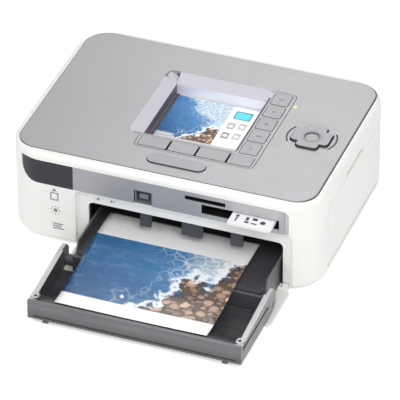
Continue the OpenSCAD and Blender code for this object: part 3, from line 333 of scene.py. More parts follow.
def metal_paint(name, colour, metallic, rough, layers):
    """Satin silver paint: fine bright flakes under a thin lacquer, with hardly any relief."""
    s = Surface(name)
    cloud = s.noise(18.0, 3.0, 0.55)
    flake = s.split(s.cells(5200.0, output="Color"))[0]
    s.colour = s.mix(s.span(cloud, 0.3, 0.7), shade(colour, 0.985), shade(colour, 1.015))
    s.lay(shade(colour, 1.12), s.span(flake, 0.0, 1.0, 0.0, 0.35))
    layers(s)
    s.gloss(rough, 0.02)
    s.shader.inputs["Metallic"].default_value = metallic
    s.bump(s.noise(3600.0, 2.0), 0.03)
    return s.done()


def bare_metal(name, colour, rough, brushed=(1, 1, 1), depth=0.06, scale=300.0, vary=0.04):
    """Bare metal with fine lines, drawn out along an axis where it is brushed."""
    s = Surface(name)
    lines = s.noise(scale, 3.0, 0.6, s.stretched(s.coords(), brushed))
    s.colour = s.mix(s.span(lines, 0.3, 0.7), shade(colour, 1 - vary), shade(colour, 1 + vary))
    s.gloss(rough, 0.06)
    s.shader.inputs["Metallic"].default_value = 1.0
    s.bump(lines, depth, 0.1)
    return s.done()


def rubber():
    s = Surface("rubber_black")
    bloom = s.noise(60.0, 4.0, 0.6)
    s.colour = s.mix(s.span(bloom, 0.35, 0.7), grey(32), grey(48))
    s.lay(grey(86), s.math("MULTIPLY", s.span(s.cells(1500.0), 0.18, 0.06), 0.25))
    s.gloss(0.75, 0.08)
    s.shader.inputs["Specular IOR Level"].default_value = 0.3
    s.bump(s.noise(1100.0, 2.0), 0.12)
    return s.done()


def circuit_board():
    """Green solder mask over paler tracks, with tinned dots."""
    s = Surface("board_green")
    mask = s.noise(34.0, 3.0)
    s.colour = s.mix(s.span(mask, 0.35, 0.65), srgb(30, 84, 52), srgb(42, 102, 64))
    track = s.cells(420.0, "DISTANCE_TO_EDGE")
    s.lay(srgb(62, 128, 82), s.span(track, 0.09, 0.04, 0.0, 0.8))
    s.lay(srgb(204, 190, 140), s.span(s.cells(520.0), 0.12, 0.08))
    s.gloss(0.35, 0.08)
    s.shader.inputs["Coat Weight"].default_value = 0.3
    s.bump(track, 0.1, 0.1)
    return s.done()


def ribbon_film_material():
    """Dye film with its coloured panels one after the other."""
    panel_length = 46.0
    s = Surface("film")
    panel = s.math("FRACT", s.math("DIVIDE", s.place()[1], panel_length))
    s.colour = s.mix(s.span(s.noise(40.0), 0.3, 0.7), srgb(186, 150, 34), srgb(206, 170, 48))
    s.lay(srgb(150, 40, 84), s.span(panel, 0.33, 0.34))
    s.lay(srgb(36, 96, 140), s.span(panel, 0.66, 0.67))
    s.gloss(0.16, 0.05)
    s.shader.inputs["Coat Weight"].default_value = 0.5
    s.bump(s.noise(220.0, 2.0), 0.05)
    return s.done()


def paper_material():
    """White paper with faint fibres, and the single sheets' edges round a stack's sides."""
    sheets_per_mm = 4.0
    s = Surface("paper_white")
    fibre = s.noise(700.0, 3.0, 0.6, s.stretched(s.coords(), (1, 2, 1)))
    s.colour = s.mix(s.span(fibre, 0.3, 0.7), grey(236), grey(243))
    sheet = s.math("FRACT", s.math("MULTIPLY", s.place()[2], sheets_per_mm))
    edges = s.span(sheet, 0.22, 0.1)
    s.lay(grey(196), s.math("MULTIPLY", edges, s.flip(s.facing((0, 0, 1)))))
    s.gloss(0.35, 0.05)
    s.bump(fibre, 0.02)
    return s.done()


def lamp_material():
    s = Surface("light_green")
    s.colour = s.mix(s.span(s.noise(900.0), 0.3, 0.7), srgb(196, 214, 70), srgb(214, 230, 96))
    s.link(s.colour, s.shader.inputs["Emission Color"])
    s.shader.inputs["Emission Strength"].default_value = 0.5
    s.gloss(0.2, 0.05)
    return s.done()


# ---------- finishes painted by place ----------

def behind_band(s):
    """The walls that the front band's slots run through."""
    lo, hi = box_mm("front_band")
    return s.region((lo.x + 26, lo.y + 1.3, lo.z), (hi.x - 1, lo.y + 12, hi.z + 0.4), 0.08)


def case_layers(s):
    """Painted shade: the paper mouth is grey behind the white front's thickness, as is the case's inside,
    and it is dark behind the band.
    """
    lo, hi = box_mm("lower_case")
    inner = s.region((lo.x + 19, lo.y + 3.4, 2.6), (hi.x - 11, hi.y - 1.4, 60), 0.1)
    s.lay(grey(92, 5), inner)
    s.lay(grey(34), behind_band(s))


def shell_layers(s):
    """Painted shade behind the band, and painted shade in the grip recess in the right side."""
    s.lay(grey(34), behind_band(s))
    hi = box_mm("upper_case")[1]
    s.lay(grey(150), s.region((hi.x - 1.25, -12.5, 44), (hi.x - 0.2, 15.8, 48.2), 0.05))


def panel_layers(s):
    """Painted shade: the plate's edges, down in the gaps round it and round its keys, are dark."""
    lo, hi = box_mm("top_panel")
    well_lo, well_hi = box_mm("lcd_bezel")
    well = s.region((well_lo.x - 1, well_lo.y - 1, 0), (well_hi.x + 1, well_hi.y + 1, 0),
                    axes="xy")
    deep = s.span(s.place()[2], hi.z - 0.3, hi.z - 0.4)
    s.lay(grey(44), s.math("MULTIPLY", deep, s.flip(well)))
    # painted shade: a dark line along the right edge, and round the corners at its two ends, for the gap
    # there
    corner, line = 12.0, 0.55
    x, y = s.place()[0], s.place()[1]
    past_x = s.math("MAXIMUM", s.math("SUBTRACT", x, hi.x - corner), 0.0)
    far_y = s.math("ABSOLUTE", s.math("SUBTRACT", y, (lo.y + hi.y) / 2))
    past_y = s.math("MAXIMUM", s.math("SUBTRACT", far_y, (hi.y - lo.y) / 2 - corner), 0.0)
    reach = s.math("SQRT", s.math("ADD", s.math("MULTIPLY", past_x, past_x),
                                  s.math("MULTIPLY", past_y, past_y)))
    rim = s.span(reach, corner - line - 0.1, corner - line + 0.1)
    s.lay(grey(62), s.product([rim, s.span(past_x, 3.0, 9.0), s.facing((0, 0, 1))]))


def band_layers(s):
    """A painted sheen, paler towards the card, and painted shade in the slots behind the band's front skin.
    """
    lo, hi = box_mm("front_band")
    card = box_mm("memory_card")[0].x
    # painted sheen towards the card
    s.lay(srgb(190, 190, 192), s.span(s.place()[0], card - 22, card + 4, 0.0, 0.85))
    # painted shade in the slots
    s.lay(grey(38), s.region((lo.x + 26, lo.y + 0.3, lo.z + 0.5),
                             (hi.x - 2, hi.y + 1, hi.z - 0.5), 0.08))


def key_layers(s):
    """Keys are silver on top, with painted shade down their sides and where two front keys meet."""
    half = 0.6
    side = s.flip(s.facing((0, 0, 1)))
    s.lay(grey(78), s.math("MULTIPLY", side, 0.9))
    for i in (1, 2, 3):
        lo, hi = box_mm("front_key_%d" % i)
        gap = (hi.x + box_mm("front_key_%d" % (i + 1))[0].x) / 2
        s.lay(grey(36), s.region((gap - half, lo.y - 1, 0), (gap + half, hi.y + 1, 0), 0.08, "xy"))


def bezel_layers(s):
    """Painted shade on the display well's left wall, and a painted highlight that keeps its back one pale.
    """
    lo, hi = box_mm("lcd_bezel")
    floor, slope_top, rim_low = 40, hi.z - 3.2, hi.z - 0.4
    left = s.region((lo.x + 5.4, lo.y, floor), (lo.x + 8.6, hi.y, slope_top), 0.25)
    s.lay(srgb(104, 96, 102), s.math("MULTIPLY", left, s.facing((1, 0, 0))))
    back = s.region((lo.x, hi.y - 9, floor), (hi.x, hi.y - 5, slope_top), 0.25)
    s.lay(srgb(240, 239, 244), s.math("MULTIPLY", back, s.facing((0, -1, 0))))
    # the rim's right edge is dark, and its front one grey
    s.lay(grey(58), s.region((hi.x - 0.9, lo.y + 1, rim_low),
                             (hi.x + 1, hi.y - 7, hi.z + 1), 0.1))
    s.lay(grey(150), s.region((lo.x + 3, lo.y - 1, rim_low),
                              (hi.x - 1, lo.y + 1.3, hi.z + 1), 0.1))


def lid_layers(s):
    """The folded-out lid: pale rims that are a painted highlight, painted shade on the inner faces and floor
    and at the foot of the front, a lighter band across the front's middle, and a mid-grey outside.
    """
    lo, hi = box_mm("cassette_lid")
    drawn = s.stretched(s.coords(), (0.12, 1, 2.5))
    streak = s.span(s.noise(260.0, 3.0, 0.6, drawn), 0.3, 0.7)
    front = s.facing((0, -1, 0))
    # painted shade at the foot of the front face
    s.lay(grey(74), s.product([front, s.span(s.place()[2], 9.0, 5.0),
                               s.math("MULTIPLY_ADD", streak, 0.4, 0.5)]))
    s.lay(grey(120), s.product([front, s.between(s.place()[2], 9.5, 12.5, 1.2),
                                s.math("MULTIPLY", streak, 0.7)]))
    # painted shade over the inner faces and floor
    inner = s.region((lo.x + 2.6, lo.y + 2.0, lo.z + 1.2), (hi.x - 2.6, hi.y, hi.z - 0.2), 0.2)
    s.lay(s.mix(streak, grey(56, 3), grey(74, 4)), inner)
    low, wide = 13.8, 4.2
    rims = s.math("MAXIMUM",
                  s.region((lo.x - 1, lo.y + 2, low), (lo.x + wide, hi.y, hi.z + 1), 0.3),
                  s.region((hi.x - wide, lo.y + 2, low), (hi.x + 1, hi.y, hi.z + 1), 0.3))
    # painted highlight along the tops of the rims
    along = s.stretched(s.coords(), (1, 0.15, 1))
    sheen_streaks = s.span(s.noise(240.0, 3.0, 0.6, along), 0.3, 0.7, 0.75, 1.0)
    s.lay(grey(206), s.product([rims, s.facing((0, 0, 1)), sheen_streaks]))


def tray_layers(s):
    """The tray's side walls get a painted highlight along their tops."""
    high = s.span(s.place()[2], 13.0, 15.0, 0.2, 0.8)
    s.lay(grey(118), s.math("MULTIPLY", s.facing((0, 0, 1)), high))


def door_layers(s):
    """Faint scuffs on the door that the cassette lies over."""
    scuff = s.noise(90.0, 5.0, 0.7, s.stretched(s.coords(), (1, 4, 1)))
    s.lay(grey(214), s.span(scuff, 0.6, 0.75, 0.0, 0.3))


def make_materials():
    """Every finish by its name, which is also a material slot's for all but a few."""
    return {
        "case_white": moulded("case_white", WHITE_PLASTIC, 0.42, layers=case_layers),
        "shell_white": moulded("shell_white", WHITE_PLASTIC, 0.4, layers=shell_layers),
        "side_white": moulded("side_white", WHITE_PLASTIC, 0.4),
        "door_white": moulded("door_white", srgb(236, 236, 232), 0.45, layers=door_layers),
        "panel_silver": metal_paint("panel_silver", srgb(154, 154, 156), 0.3, 0.35, panel_layers),
        "band_grey": metal_paint("band_grey", srgb(158, 159, 163), 0.2, 0.34, band_layers),
        "window_dark": moulded("window_dark", srgb(48, 48, 54), 0.2, depth=0.0, spec=0.25),
        "bezel_grey": metal_paint("bezel_grey", srgb(202, 200, 208), 0.15, 0.4, bezel_layers),
        "screen": moulded("screen", srgb(34, 34, 38), 0.3, depth=0.01),
        "key_silver": metal_paint("key_silver", srgb(146, 146, 149), 0.3, 0.36, key_layers),
        "board_green": circuit_board(),
        "dark_plastic": moulded("dark_plastic", srgb(66, 66, 72), 0.45, wear_and_sheen=0.3),
        "connector_grey": moulded("connector_grey", srgb(24, 24, 27), 0.6, spec=0.2),
        "card_white": moulded("card_white", srgb(240, 240, 242), 0.35, depth=0.02),
        "steel": bare_metal("steel", srgb(178, 180, 184), 0.28, (1, 30, 30)),
        "zinc_plate": bare_metal("zinc_plate", srgb(170, 173, 178), 0.38, depth=0.1, scale=260.0,
                                 vary=0.1),
        "alloy": bare_metal("alloy", srgb(168, 170, 175), 0.35, (1, 20, 20)),
        "rubber_black": rubber(),
        "gear_nylon": moulded("gear_nylon", srgb(226, 221, 206), 0.45, vary=0.03),
        "brass": bare_metal("brass", srgb(200, 160, 78), 0.3),
        "ribbon_case": moulded("ribbon_case", srgb(58, 60, 66), 0.45, wear_and_sheen=0.25),
        "film": ribbon_film_material(),
        "cassette_grey": moulded("cassette_grey", srgb(72, 73, 78), 0.36, vary=0.05, wear_and_sheen=0.35,
                                 layers=tray_layers),
        "cover_grey": moulded("cover_grey", srgb(62, 62, 67), 0.36, vary=0.05, wear_and_sheen=0.3),
        "lid_grey": moulded("lid_grey", srgb(98, 99, 102), 0.32, vary=0.05, wear_and_sheen=0.4,
                            layers=lid_layers),
        "cheek_grey": moulded("cheek_grey", srgb(140, 140, 147), 0.4),
        "socket_grey": moulded("socket_grey", srgb(116, 117, 122), 0.4),
        "paper_white": paper_material(),
        "mark_grey": moulded("mark_grey", srgb(128, 129, 134), 0.5),
        "mark_dark": moulded("mark_dark", srgb(60, 60, 66), 0.5),
        "light_green": lamp_material(),
    }


# ---------- pictures ----------

class Picture(Surface):
    """A flat generic design built from soft-edged shapes in the piece's UV square."""

    def __init__(self, name):
        super().__init__(name)
        self.uv = self.coords("UV")
        self.u, self.v = self.split(self.uv)[:2]

    def rect(self, colour, u0, u1, v0, v1, soft=0.004, fac=1.0):
        mask = self.math("MULTIPLY", self.between(self.u, u0, u1, soft),
                         self.between(self.v, v0, v1, soft))
        self.lay(colour, self.math("MULTIPLY", mask, fac))

    def slope(self, au, av, at=0.0):
        """au * u + av * v + at."""
        return self.math("ADD", self.math("MULTIPLY_ADD", self.u, au, at),
                         self.math("MULTIPLY", self.v, av))

    def stones(self, beach, wide, k, scale, size, dark, light):
        """One layer of round stones of about one size, where the beach is."""
        here = self.span(beach, 0.02, 0.05)
        spread = self.stretched(self.uv, (scale * k, scale * 1.35 * k, 1))
        cell = self.warped(spread, 0.8, 0.35)
        tint, girth = self.split(self.cells(1.0, "F1", cell, "Color"))[:2]
        near = self.cells(1.0, "F1", cell)
        past = self.math("SUBTRACT", near, self.span(girth, 0.0, 1.0, size * 0.55, size))
        rim = self.span(past, 0.06, 0.0, 0.0, 0.6)
        self.lay(srgb(38, 30, 28), self.math("MULTIPLY", rim, here))
        tone = self.mix(tint, dark, light)
        speckle = self.span(self.noise(60.0, 3.0, 0.6, wide), 0.5, 0.75, 0.0, 0.35)
        tone = self.mix(speckle, tone, shade(dark, 0.7))
        tone = self.mix(self.span(near, 0.0, size, 0.4, 0.0), tone, srgb(240, 222, 204))
        self.lay(tone, self.math("MULTIPLY", self.span(past, 0.0, -0.05), here))

    def shore(self, size=1.0):
        """A pebble beach from above: blue water, lacing foam, a pale sandbar, brown stones."""
        k = 1 / size
        wide = self.stretched(self.uv, (k, k, k))
        swell = self.noise(5.0, 4.0, 0.6, self.stretched(self.uv, (2.2 * k, 5.0 * k, k)), 0.6)
        self.colour = self.mix(self.span(self.slope(0.5 * k, 0.35 * k), 0.05, 0.75),
                               srgb(20, 74, 124), srgb(84, 142, 192))
        self.lay(srgb(136, 184, 218), self.span(swell, 0.5, 0.8, 0.0, 0.35))
        ragged = self.math("SUBTRACT", self.noise(3.2, 5.0, 0.62, wide), 0.5)
        ragged = self.math("MULTIPLY", ragged, 0.75)
        # the pale sandbar at the right and back, laced with foam
        sand = self.math("ADD", self.slope(0.9 * k, 0.62 * k, -1.0), ragged)
        self.lay(srgb(176, 194, 206), self.span(sand, -0.05, 0.1, 0.0, 0.92))
        lace = self.cells(13.0, "DISTANCE_TO_EDGE", self.warped(wide, 6.0, 0.09))
        self.lay(srgb(228, 234, 238), self.math("MULTIPLY", self.span(lace, 0.1, 0.02, 0.0, 0.8),
                                                self.span(sand, -0.16, 0.05)))
        # wet ground and stones at the right and front, the small stones first
        beach = self.math("ADD", self.slope(0.95 * k, -0.75 * k, -0.36), ragged)
        self.lay(srgb(40, 52, 66), self.span(beach, -0.03, 0.03, 0.0, 0.95))
        self.lay(srgb(96, 74, 60), self.span(beach, 0.02, 0.1, 0.0, 0.9))
        self.stones(beach, wide, k, 21.0, 0.56, srgb(78, 58, 50), srgb(142, 104, 82))
        self.stones(beach, wide, k, 12.0, 0.54, srgb(96, 66, 50), srgb(186, 140, 108))
        self.stones(beach, wide, k, 7.6, 0.46, srgb(128, 86, 60), srgb(222, 190, 162))
        # foam along the water's edge, and a fainter line further out
        foam = self.math("ADD", beach, self.math("MULTIPLY", lace, 0.18))
        self.lay(srgb(236, 240, 242), self.between(foam, -0.035, 0.035, 0.02))
        self.lay(srgb(196, 216, 230),
                 self.math("MULTIPLY", self.between(foam, -0.17, -0.15, 0.02), 0.5))


def print_material():
    """The finished print: the shore, a white tear-off strip in front and one behind in a faint grey that is
    painted shade under the case's top.
    """
    strip_end, picture_end = 0.134, 0.755
    p = Picture("print")
    p.shore()
    p.rect(srgb(252, 252, 252), -1, 2, -1, strip_end, soft=0.002)
    # the rear strip: painted shade where it runs in under the case
    p.rect(srgb(238, 237, 237), -1, 2, picture_end, 2, soft=0.002)
    p.rect(srgb(178, 178, 182), -1, 2, strip_end - 0.006, strip_end - 0.002, soft=0.002, fac=0.35)
    p.gloss(0.26, 0.05)
    p.shader.inputs["Coat Weight"].default_value = 0.25
    p.bump(p.noise(900.0, 2.0), 0.01)
    return p.done()


def display_frame_material():
    """The flat frame round the picture, with a dark strip at its left that is painted shade beside the
    well's left wall.
    """
    s = Surface("display_frame")
    s.colour = s.mix(s.span(s.noise(40.0), 0.3, 0.7), srgb(200, 199, 206), srgb(208, 207, 213))
    left = box_mm("lcd_window")[0].x
    # painted shade at the left
    s.lay(srgb(88, 82, 88), s.span(s.place()[0], left + 1.9, left + 1.7))
    s.gloss(0.4, 0.05)
    s.bump(s.noise(2600.0, 2.0), 0.03)
    return s.done()


def display_material():
    """A lit screen: the shore at the left, a white column of plain menu boxes at the right."""
    p = Picture("display_picture")
    p.shore(0.74)
    p.rect(srgb(196, 200, 190), 0.0, 0.2, 0.0, 0.07, soft=0.02)
    p.rect(srgb(238, 240, 242), 0.635, 1.01, -0.01, 0.985)
    p.rect(srgb(66, 128, 140), 0.69, 0.88, 0.70, 0.90)
    p.rect(srgb(98, 208, 222), 0.704, 0.866, 0.72, 0.88)
    for u, v, tone in ((0.68, 0.44, 170), (0.80, 0.47, 190), (0.68, 0.20, 150),
                       (0.80, 0.22, 184)):
        p.rect(grey(tone, 4), u, u + 0.085, v, v + 0.15)
        p.rect(grey(244), u + 0.02, u + 0.065, v + 0.05, v + 0.10)
    p.rect(grey(120), 0.67, 0.90, 0.60, 0.612, fac=0.7)
    # the fine lines between the screen's columns of dots
    dots_across = 160.0
    column = p.math("FRACT", p.math("MULTIPLY", p.u, dots_across))
    p.lay((0.0, 0.0, 0.0), p.span(column, 0.2, 0.1, 0.0, 0.08))
    p.link(p.colour, p.shader.inputs["Emission Color"])
    p.shader.inputs["Emission Strength"].default_value = 0.3
    p.shader.inputs["Specular IOR Level"].default_value = 0.15
    p.gloss(0.4, 0.05)
    return p.done()


# ---------- mesh helpers ----------

def new_object(name, mesh, material, body):
    """A piece that rides on a body; with no body it is blended between two afterwards."""
    obj = bpy.data.objects.new(name, mesh)
    bpy.context.scene.collection.objects.link(obj)
    mesh.materials.append(material)
    if body:
        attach(obj, body)
    return obj


def from_bmesh(bm, name):
    mesh = bpy.data.meshes.new(name)
    bmesh.ops.recalc_face_normals(bm, faces=bm.faces)
    bm.to_mesh(mesh)
    bm.free()
    return mesh


def join_loops(bm, a, b):
    """Faces between two closed loops of vertices that run the same way."""
    n = len(a)
    for i in range(n):
        bm.faces.new((a[i], a[(i + 1) % n], b[(i + 1) % n], b[i]))


def add_slab(bm, outline, low, high):
    """A thin plate; low and high turn each point of its flat outline into a place."""
    top = [bm.verts.new(high(p)) for p in outline]
    bottom = [bm.verts.new(low(p)) for p in outline]
    bm.faces.new(top)
    bm.faces.new(bottom[::-1])
    join_loops(bm, bottom, top)


def soften(obj, width):
    """Edges get a small round of this width, or stay sharp where it is 0."""
    weld = obj.modifiers.new("weld", "WELD")
    weld.merge_threshold = 2e-6
    if width:
        bevel = obj.modifiers.new("bevel", "BEVEL")
        bevel.width = width * MM
        bevel.segments = 2
        bevel.limit_method = "ANGLE"
        bevel.angle_limit = math.radians(40)
        bevel.use_clamp_overlap = True
        bevel.miter_outer = "MITER_ARC"
    else:
        split = obj.modifiers.new("edges", "EDGE_SPLIT")
        split.split_angle = math.radians(30)
    # the wide flats keep their own shading
    normals = obj.modifiers.new("normals", "WEIGHTED_NORMAL")
    normals.mode = "FACE_AREA"
    normals.weight = 80
    normals.keep_sharp = True
    obj.data.shade_smooth()


def catmull(points, steps):
    """A smooth line through the points."""
    pts = [points[0]] + list(points) + [points[-1]]
    out = []
    for i in range(1, len(pts) - 2):
        p0, p1, p2, p3 = (Vector(p) for p in pts[i - 1:i + 3])
        for k in range(steps):
            t = k / steps
            out.append(0.5 * (2 * p1 + (p2 - p0) * t + (2 * p0 - 5 * p1 + 4 * p2 - p3) * t * t
                              + (3 * p1 - p0 - 3 * p2 + p3) * t ** 3))
    out.append(Vector(pts[-2]))
    return out


# ---------- carried-over pieces ----------

REPLACED = {"printed_sheet", "paper_stack", "lcd_module", "lcd_window"}
OWN_FINISH = {"upper_case": "shell_white", "ink_door": "side_white", "front_door": "door_white",
              "cassette_cover": "cover_grey", "usb_socket": "socket_grey"}
SMALL_KEY_BEVEL = 0.25
BEVELS = {
    "print_key": 0.3, "direction_key": 0.25, "set_key": 0.25, "cassette_tray": 0.3,
    "cassette_cover": 0.3, "cassette_lid": 0.35, "front_door": 0.3, "ink_door": 0.3,
    "memory_card": 0.15, "rubber_feet": 0.4, "sheet_guide": 0.3,
}


def dress_cad_nodes():
    """Each node gets its own finish, or else the one that its material slot names."""
    slots = {s["node"]: s["material_slot"] for s in frame["record"]["subparts"]}
    for name, obj in NODES.items():
        if name in REPLACED:
            continue
        obj.data.materials.clear()
        obj.data.materials.append(MATS[OWN_FINISH.get(name, slots[name])])
        small_key = "side_key" in name or "front_key" in name
        soften(obj, SMALL_KEY_BEVEL if small_key else BEVELS.get(name, 0.0))


# ---------- print and paper ----------

# y and z of the finished print's middle line, from the lid's ramp into the mouth
PRINT_LINE = [(-130.0, 13.15), (-121.0, 12.6), (-112.8, 12.65), (-103.0, 13.3), (-94.0, 14.35),
              (-87.0, 15.4), (-80.0, 16.15), (-62.0, 16.4), (-48.0, 16.52)]


def make_print():
    """The finished print, bowed as it lies, which bends up with the lid."""
    across, front_curl, thickness = 24, 0.35, 0.24
    lo, hi = box_mm("printed_sheet")
    line = catmull([(0, y, z) for y, z in PRINT_LINE], 8)
    length = [0.0]
    for a, b in zip(line, line[1:]):
        length.append(length[-1] + (b - a).length)
    bm = bmesh.new()
    uv = bm.loops.layers.uv.new("UVMap")
    grid = []
    for p, s in zip(line, length):
        v = s / length[-1]
        row = []
        for i in range(across + 1):
            u = i / across
            curl = front_curl * (2 * u - 1) ** 2 * (1 - v)
            place = spot(lo.x + (hi.x - lo.x) * u, p.y, p.z + curl)
            row.append((bm.verts.new(place), u, v))
        grid.append(row)
    for a, b in zip(grid, grid[1:]):
        for i in range(across):
            quad = (a[i], a[i + 1], b[i + 1], b[i])
            face = bm.faces.new([q[0] for q in quad])
            for loop, q in zip(face.loops, quad):
                loop[uv].uv = (q[1], q[2])
    mesh = from_bmesh(bm, "photo_print")
    mesh.shade_smooth()
    obj = new_object("photo_print", mesh, print_material(), None)
    solid = obj.modifiers.new("thickness", "SOLIDIFY")
    solid.thickness = thickness * MM
    solid.offset = 0
    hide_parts("printed_sheet")
    fold = box_mm("lid_pins")[0].y + 1.5
    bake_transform(obj, "cassette", "cassette_lid", spot(0, fold, 15), spot(0, fold - 18, 15))


def make_paper():
    """The stack of blank paper, which bends at its middle as the plate lifts its rear half."""
    lo, hi = box_mm("paper_stack")
    fold = box_mm("lift_plate")[0].y + 0.8
    # rows of vertices across the stack, close together where it bends
    outer, inner, steps = 8, 3, 8
    rows = ([lo.y, fold - outer] + [fold - inner + 2 * inner * i / steps for i in range(steps + 1)]
            + [fold + outer, hi.y])
    bm = bmesh.new()
    section = bar(lo.x, hi.x, lo.z, hi.z)
    loops = [[bm.verts.new(spot(x, y, z)) for x, z in section] for y in rows]
    for a, b in zip(loops, loops[1:]):
        join_loops(bm, a, b)
    bm.faces.new(loops[0])
    bm.faces.new(loops[-1])
    obj = new_object("paper_pack", from_bmesh(bm, "paper_pack"), MATS["paper_white"], None)
    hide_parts("paper_stack")
    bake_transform(obj, "cassette", "lift_plate", spot(0, fold - 2, 6.6), spot(0, fold + 2, 6.6))


# ---------- display and mouth ----------

def flat_face(name, lo, hi, material):
    """A flat box from corner to corner, with UV over its top face, riding on the printer."""
    bm = bmesh.new()
    uv = bm.loops.layers.uv.new("UVMap")
    corners = [(lo[0], lo[1], 0, 0), (hi[0], lo[1], 1, 0), (hi[0], hi[1], 1, 1),
               (lo[0], hi[1], 0, 1)]
    top = [bm.verts.new(spot(x, y, hi[2])) for x, y, _, _ in corners]
    low = [bm.verts.new(spot(x, y, lo[2])) for x, y, _, _ in corners]
    bm.faces.new(top)
    bm.faces.new(low[::-1])
    join_loops(bm, low, top)
    uvs = {v: c[2:] for vs in (top, low) for v, c in zip(vs, corners)}
    for f in bm.faces:
        for loop in f.loops:
            loop[uv].uv = uvs[loop.vert]
    return new_object(name, from_bmesh(bm, name), material, "printer")


def make_display():
    """The screen module, the pale frame over it and the lit picture, just proud of the frame."""
    front, back, proud, thick = -11.5, 27.6, 0.12, 0.3
    lo, hi = box_mm("lcd_module")
    module = flat_face("display_panel", lo, hi, MATS["screen"])
    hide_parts("lcd_module")
    lo, hi = box_mm("lcd_window")
    flat_face("display_picture", (lo.x + 1.8, front, hi.z + proud - thick),
              (hi.x - 0.5, back, hi.z + proud), display_material())
    cover = flat_face("display_cover", lo, hi, display_frame_material())
    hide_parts("lcd_window")


def make_cheeks():
    """The dark side walls just inside the mouth, on either side of the cassette."""
    front, back, low, high = -59.9, -44.6, 3.7, 31.4
    near, far = 1.7, 2.5
    lo, hi = box_mm("cassette_tray")
    bm = bmesh.new()
    for x0, x1 in ((lo.x - far, lo.x - near), (hi.x + near, hi.x + far)):
        add_slab(bm, bar(x0, x1, front, back), on_level(low), on_level(high))
    obj = new_object("mouth_cheeks", from_bmesh(bm, "mouth_cheeks"), MATS["cheek_grey"],
                     "printer")
    soften(obj, 0.2)


# ---------- small signs ----------

def on_level(z):
    """Turns a flat point into the place at height z that lies over it."""
    return lambda p: spot(p[0], p[1], z)


def on_front(y):
    """Turns a flat point into the place on an upright face at y."""
    return lambda p: spot(p[0], y, p[1])


def ring(x, y, r, n=20):
    return [(x + r * math.cos(2 * math.pi * i / n), y + r * math.sin(2 * math.pi * i / n))
            for i in range(n)]


def bar(x0, x1, y0, y1):
    return [(x0, y0), (x1, y0), (x1, y1), (x0, y1)]


def frame_bars(x0, x1, y0, y1, t):
    """Four bars of width t that make a frame."""
    return [bar(x0, x1, y0, y0 + t), bar(x0, x1, y1 - t, y1),
            bar(x0, x0 + t, y0 + t, y1 - t), bar(x1 - t, x1, y0 + t, y1 - t)]


def arrow(x, y, w, h):
    """An arrow head that points up."""
    return [(x - w / 2, y), (x + w / 2, y), (x, y + h)]


def scaled(shapes, k, x, y):
    """The shapes made k times as large and moved to x, y."""
    return [[(px * k + x, py * k + y) for px, py in shape] for shape in shapes]


PAGE_MARK = frame_bars(-1.5, 1.5, -2.2, 1.0, 0.45) + [arrow(0, 1.5, 2.0, 1.3)]
SUN_MARK = [ring(0, 0, 0.9)] + [ring(1.9 * math.cos(a), 1.9 * math.sin(a), 0.3, 8)
                                for a in (math.pi / 4 * i for i in range(8))]
LINES_MARK = [bar(-2.4, 2.4, -1.3, -0.7), bar(-2.4, 1.2, -0.2, 0.4), bar(-2.4, 2.0, 0.9, 1.5)]
MOUTH_MARKS = [bar(-35.4, -33.6, 34.9, 35.5), arrow(-34.5, 35.7, 1.4, 0.9),
               ring(-26.8, 35.6, 0.7), ring(-25.0, 35.6, 0.4)]
# for side_key_1 to side_key_5: a frame, a triangle, a dot, two bars and a cross
SIDE_KEY_MARKS = [
    frame_bars(-1.3, 1.3, -0.9, 0.9, 0.35),
    [[(-0.9, -1.0), (1.1, 0), (-0.9, 1.0)]],
    [ring(0, 0, 0.9)],
    [bar(-1.2, -0.3, -0.9, 0.9), bar(0.3, 1.2, -0.9, 0.9)],
    [bar(-1.1, 1.1, -0.22, 0.22), bar(-0.22, 0.22, 0.24, 1.1), bar(-0.22, 0.22, -1.1, -0.24)],
]
# from the card's front left corner
CARD_MARKS = [
    bar(3.2, 4.0, 2.2, 6.6), arrow(3.6, 6.7, 2.6, 1.9), bar(8.6, 11.0, 2.4, 3.8),
    bar(8.6, 10.2, 4.6, 7.6), bar(12.2, 15.6, 2.4, 3.2), bar(12.2, 14.8, 5.6, 7.8),
    ring(18.4, 5.0, 1.5),
]
SIGN_SUNK = 0.11
SIGN_PROUD = 0.04


def print_marks(name, shapes, low, high, material, body):
    """Signs printed on a flat face: thin plates let into it, which hardly stand proud."""
    bm = bmesh.new()
    for outline in shapes:
        add_slab(bm, outline, low, high)
    new_object(name, from_bmesh(bm, name), material, body)


def make_marks():
    """The signs on the case's front, over its mouth, on the side keys and on the card."""
    front = box_mm("lower_case")[0].y
    low, high = on_front(front + SIGN_SUNK), on_front(front - SIGN_PROUD)
    signs = (scaled(PAGE_MARK, 1.6, -60.0, 31.9) + scaled(SUN_MARK, 1.35, -59.5, 21.9)
             + scaled(LINES_MARK, 1.35, -58.0, 11.4))
    print_marks("front_signs", signs, low, high, MATS["mark_grey"], "printer")
    print_marks("mouth_signs", MOUTH_MARKS, low, high, MATS["mark_grey"], "printer")
    for i, mark in enumerate(SIDE_KEY_MARKS):
        node = "side_key_%d" % (i + 1)
        lo, hi = box_mm(node)
        print_marks(node + "_sign", scaled(mark, 1, (lo.x + hi.x) / 2, (lo.y + hi.y) / 2),
                    on_level(hi.z - SIGN_SUNK), on_level(hi.z + SIGN_PROUD), MATS["mark_grey"],
                    body_of(NODES[node])[0])
    lo, hi = box_mm("memory_card")
    print_marks("card_signs", scaled(CARD_MARKS, 1, lo.x, lo.y),
                on_level(hi.z - SIGN_SUNK), on_level(hi.z + SIGN_PROUD), MATS["mark_dark"],
                body_of(NODES["memory_card"])[0])


# ---------- floor and light ----------

FLOOR_GLOW = 0.45
ROOM_LIGHT = 0.55


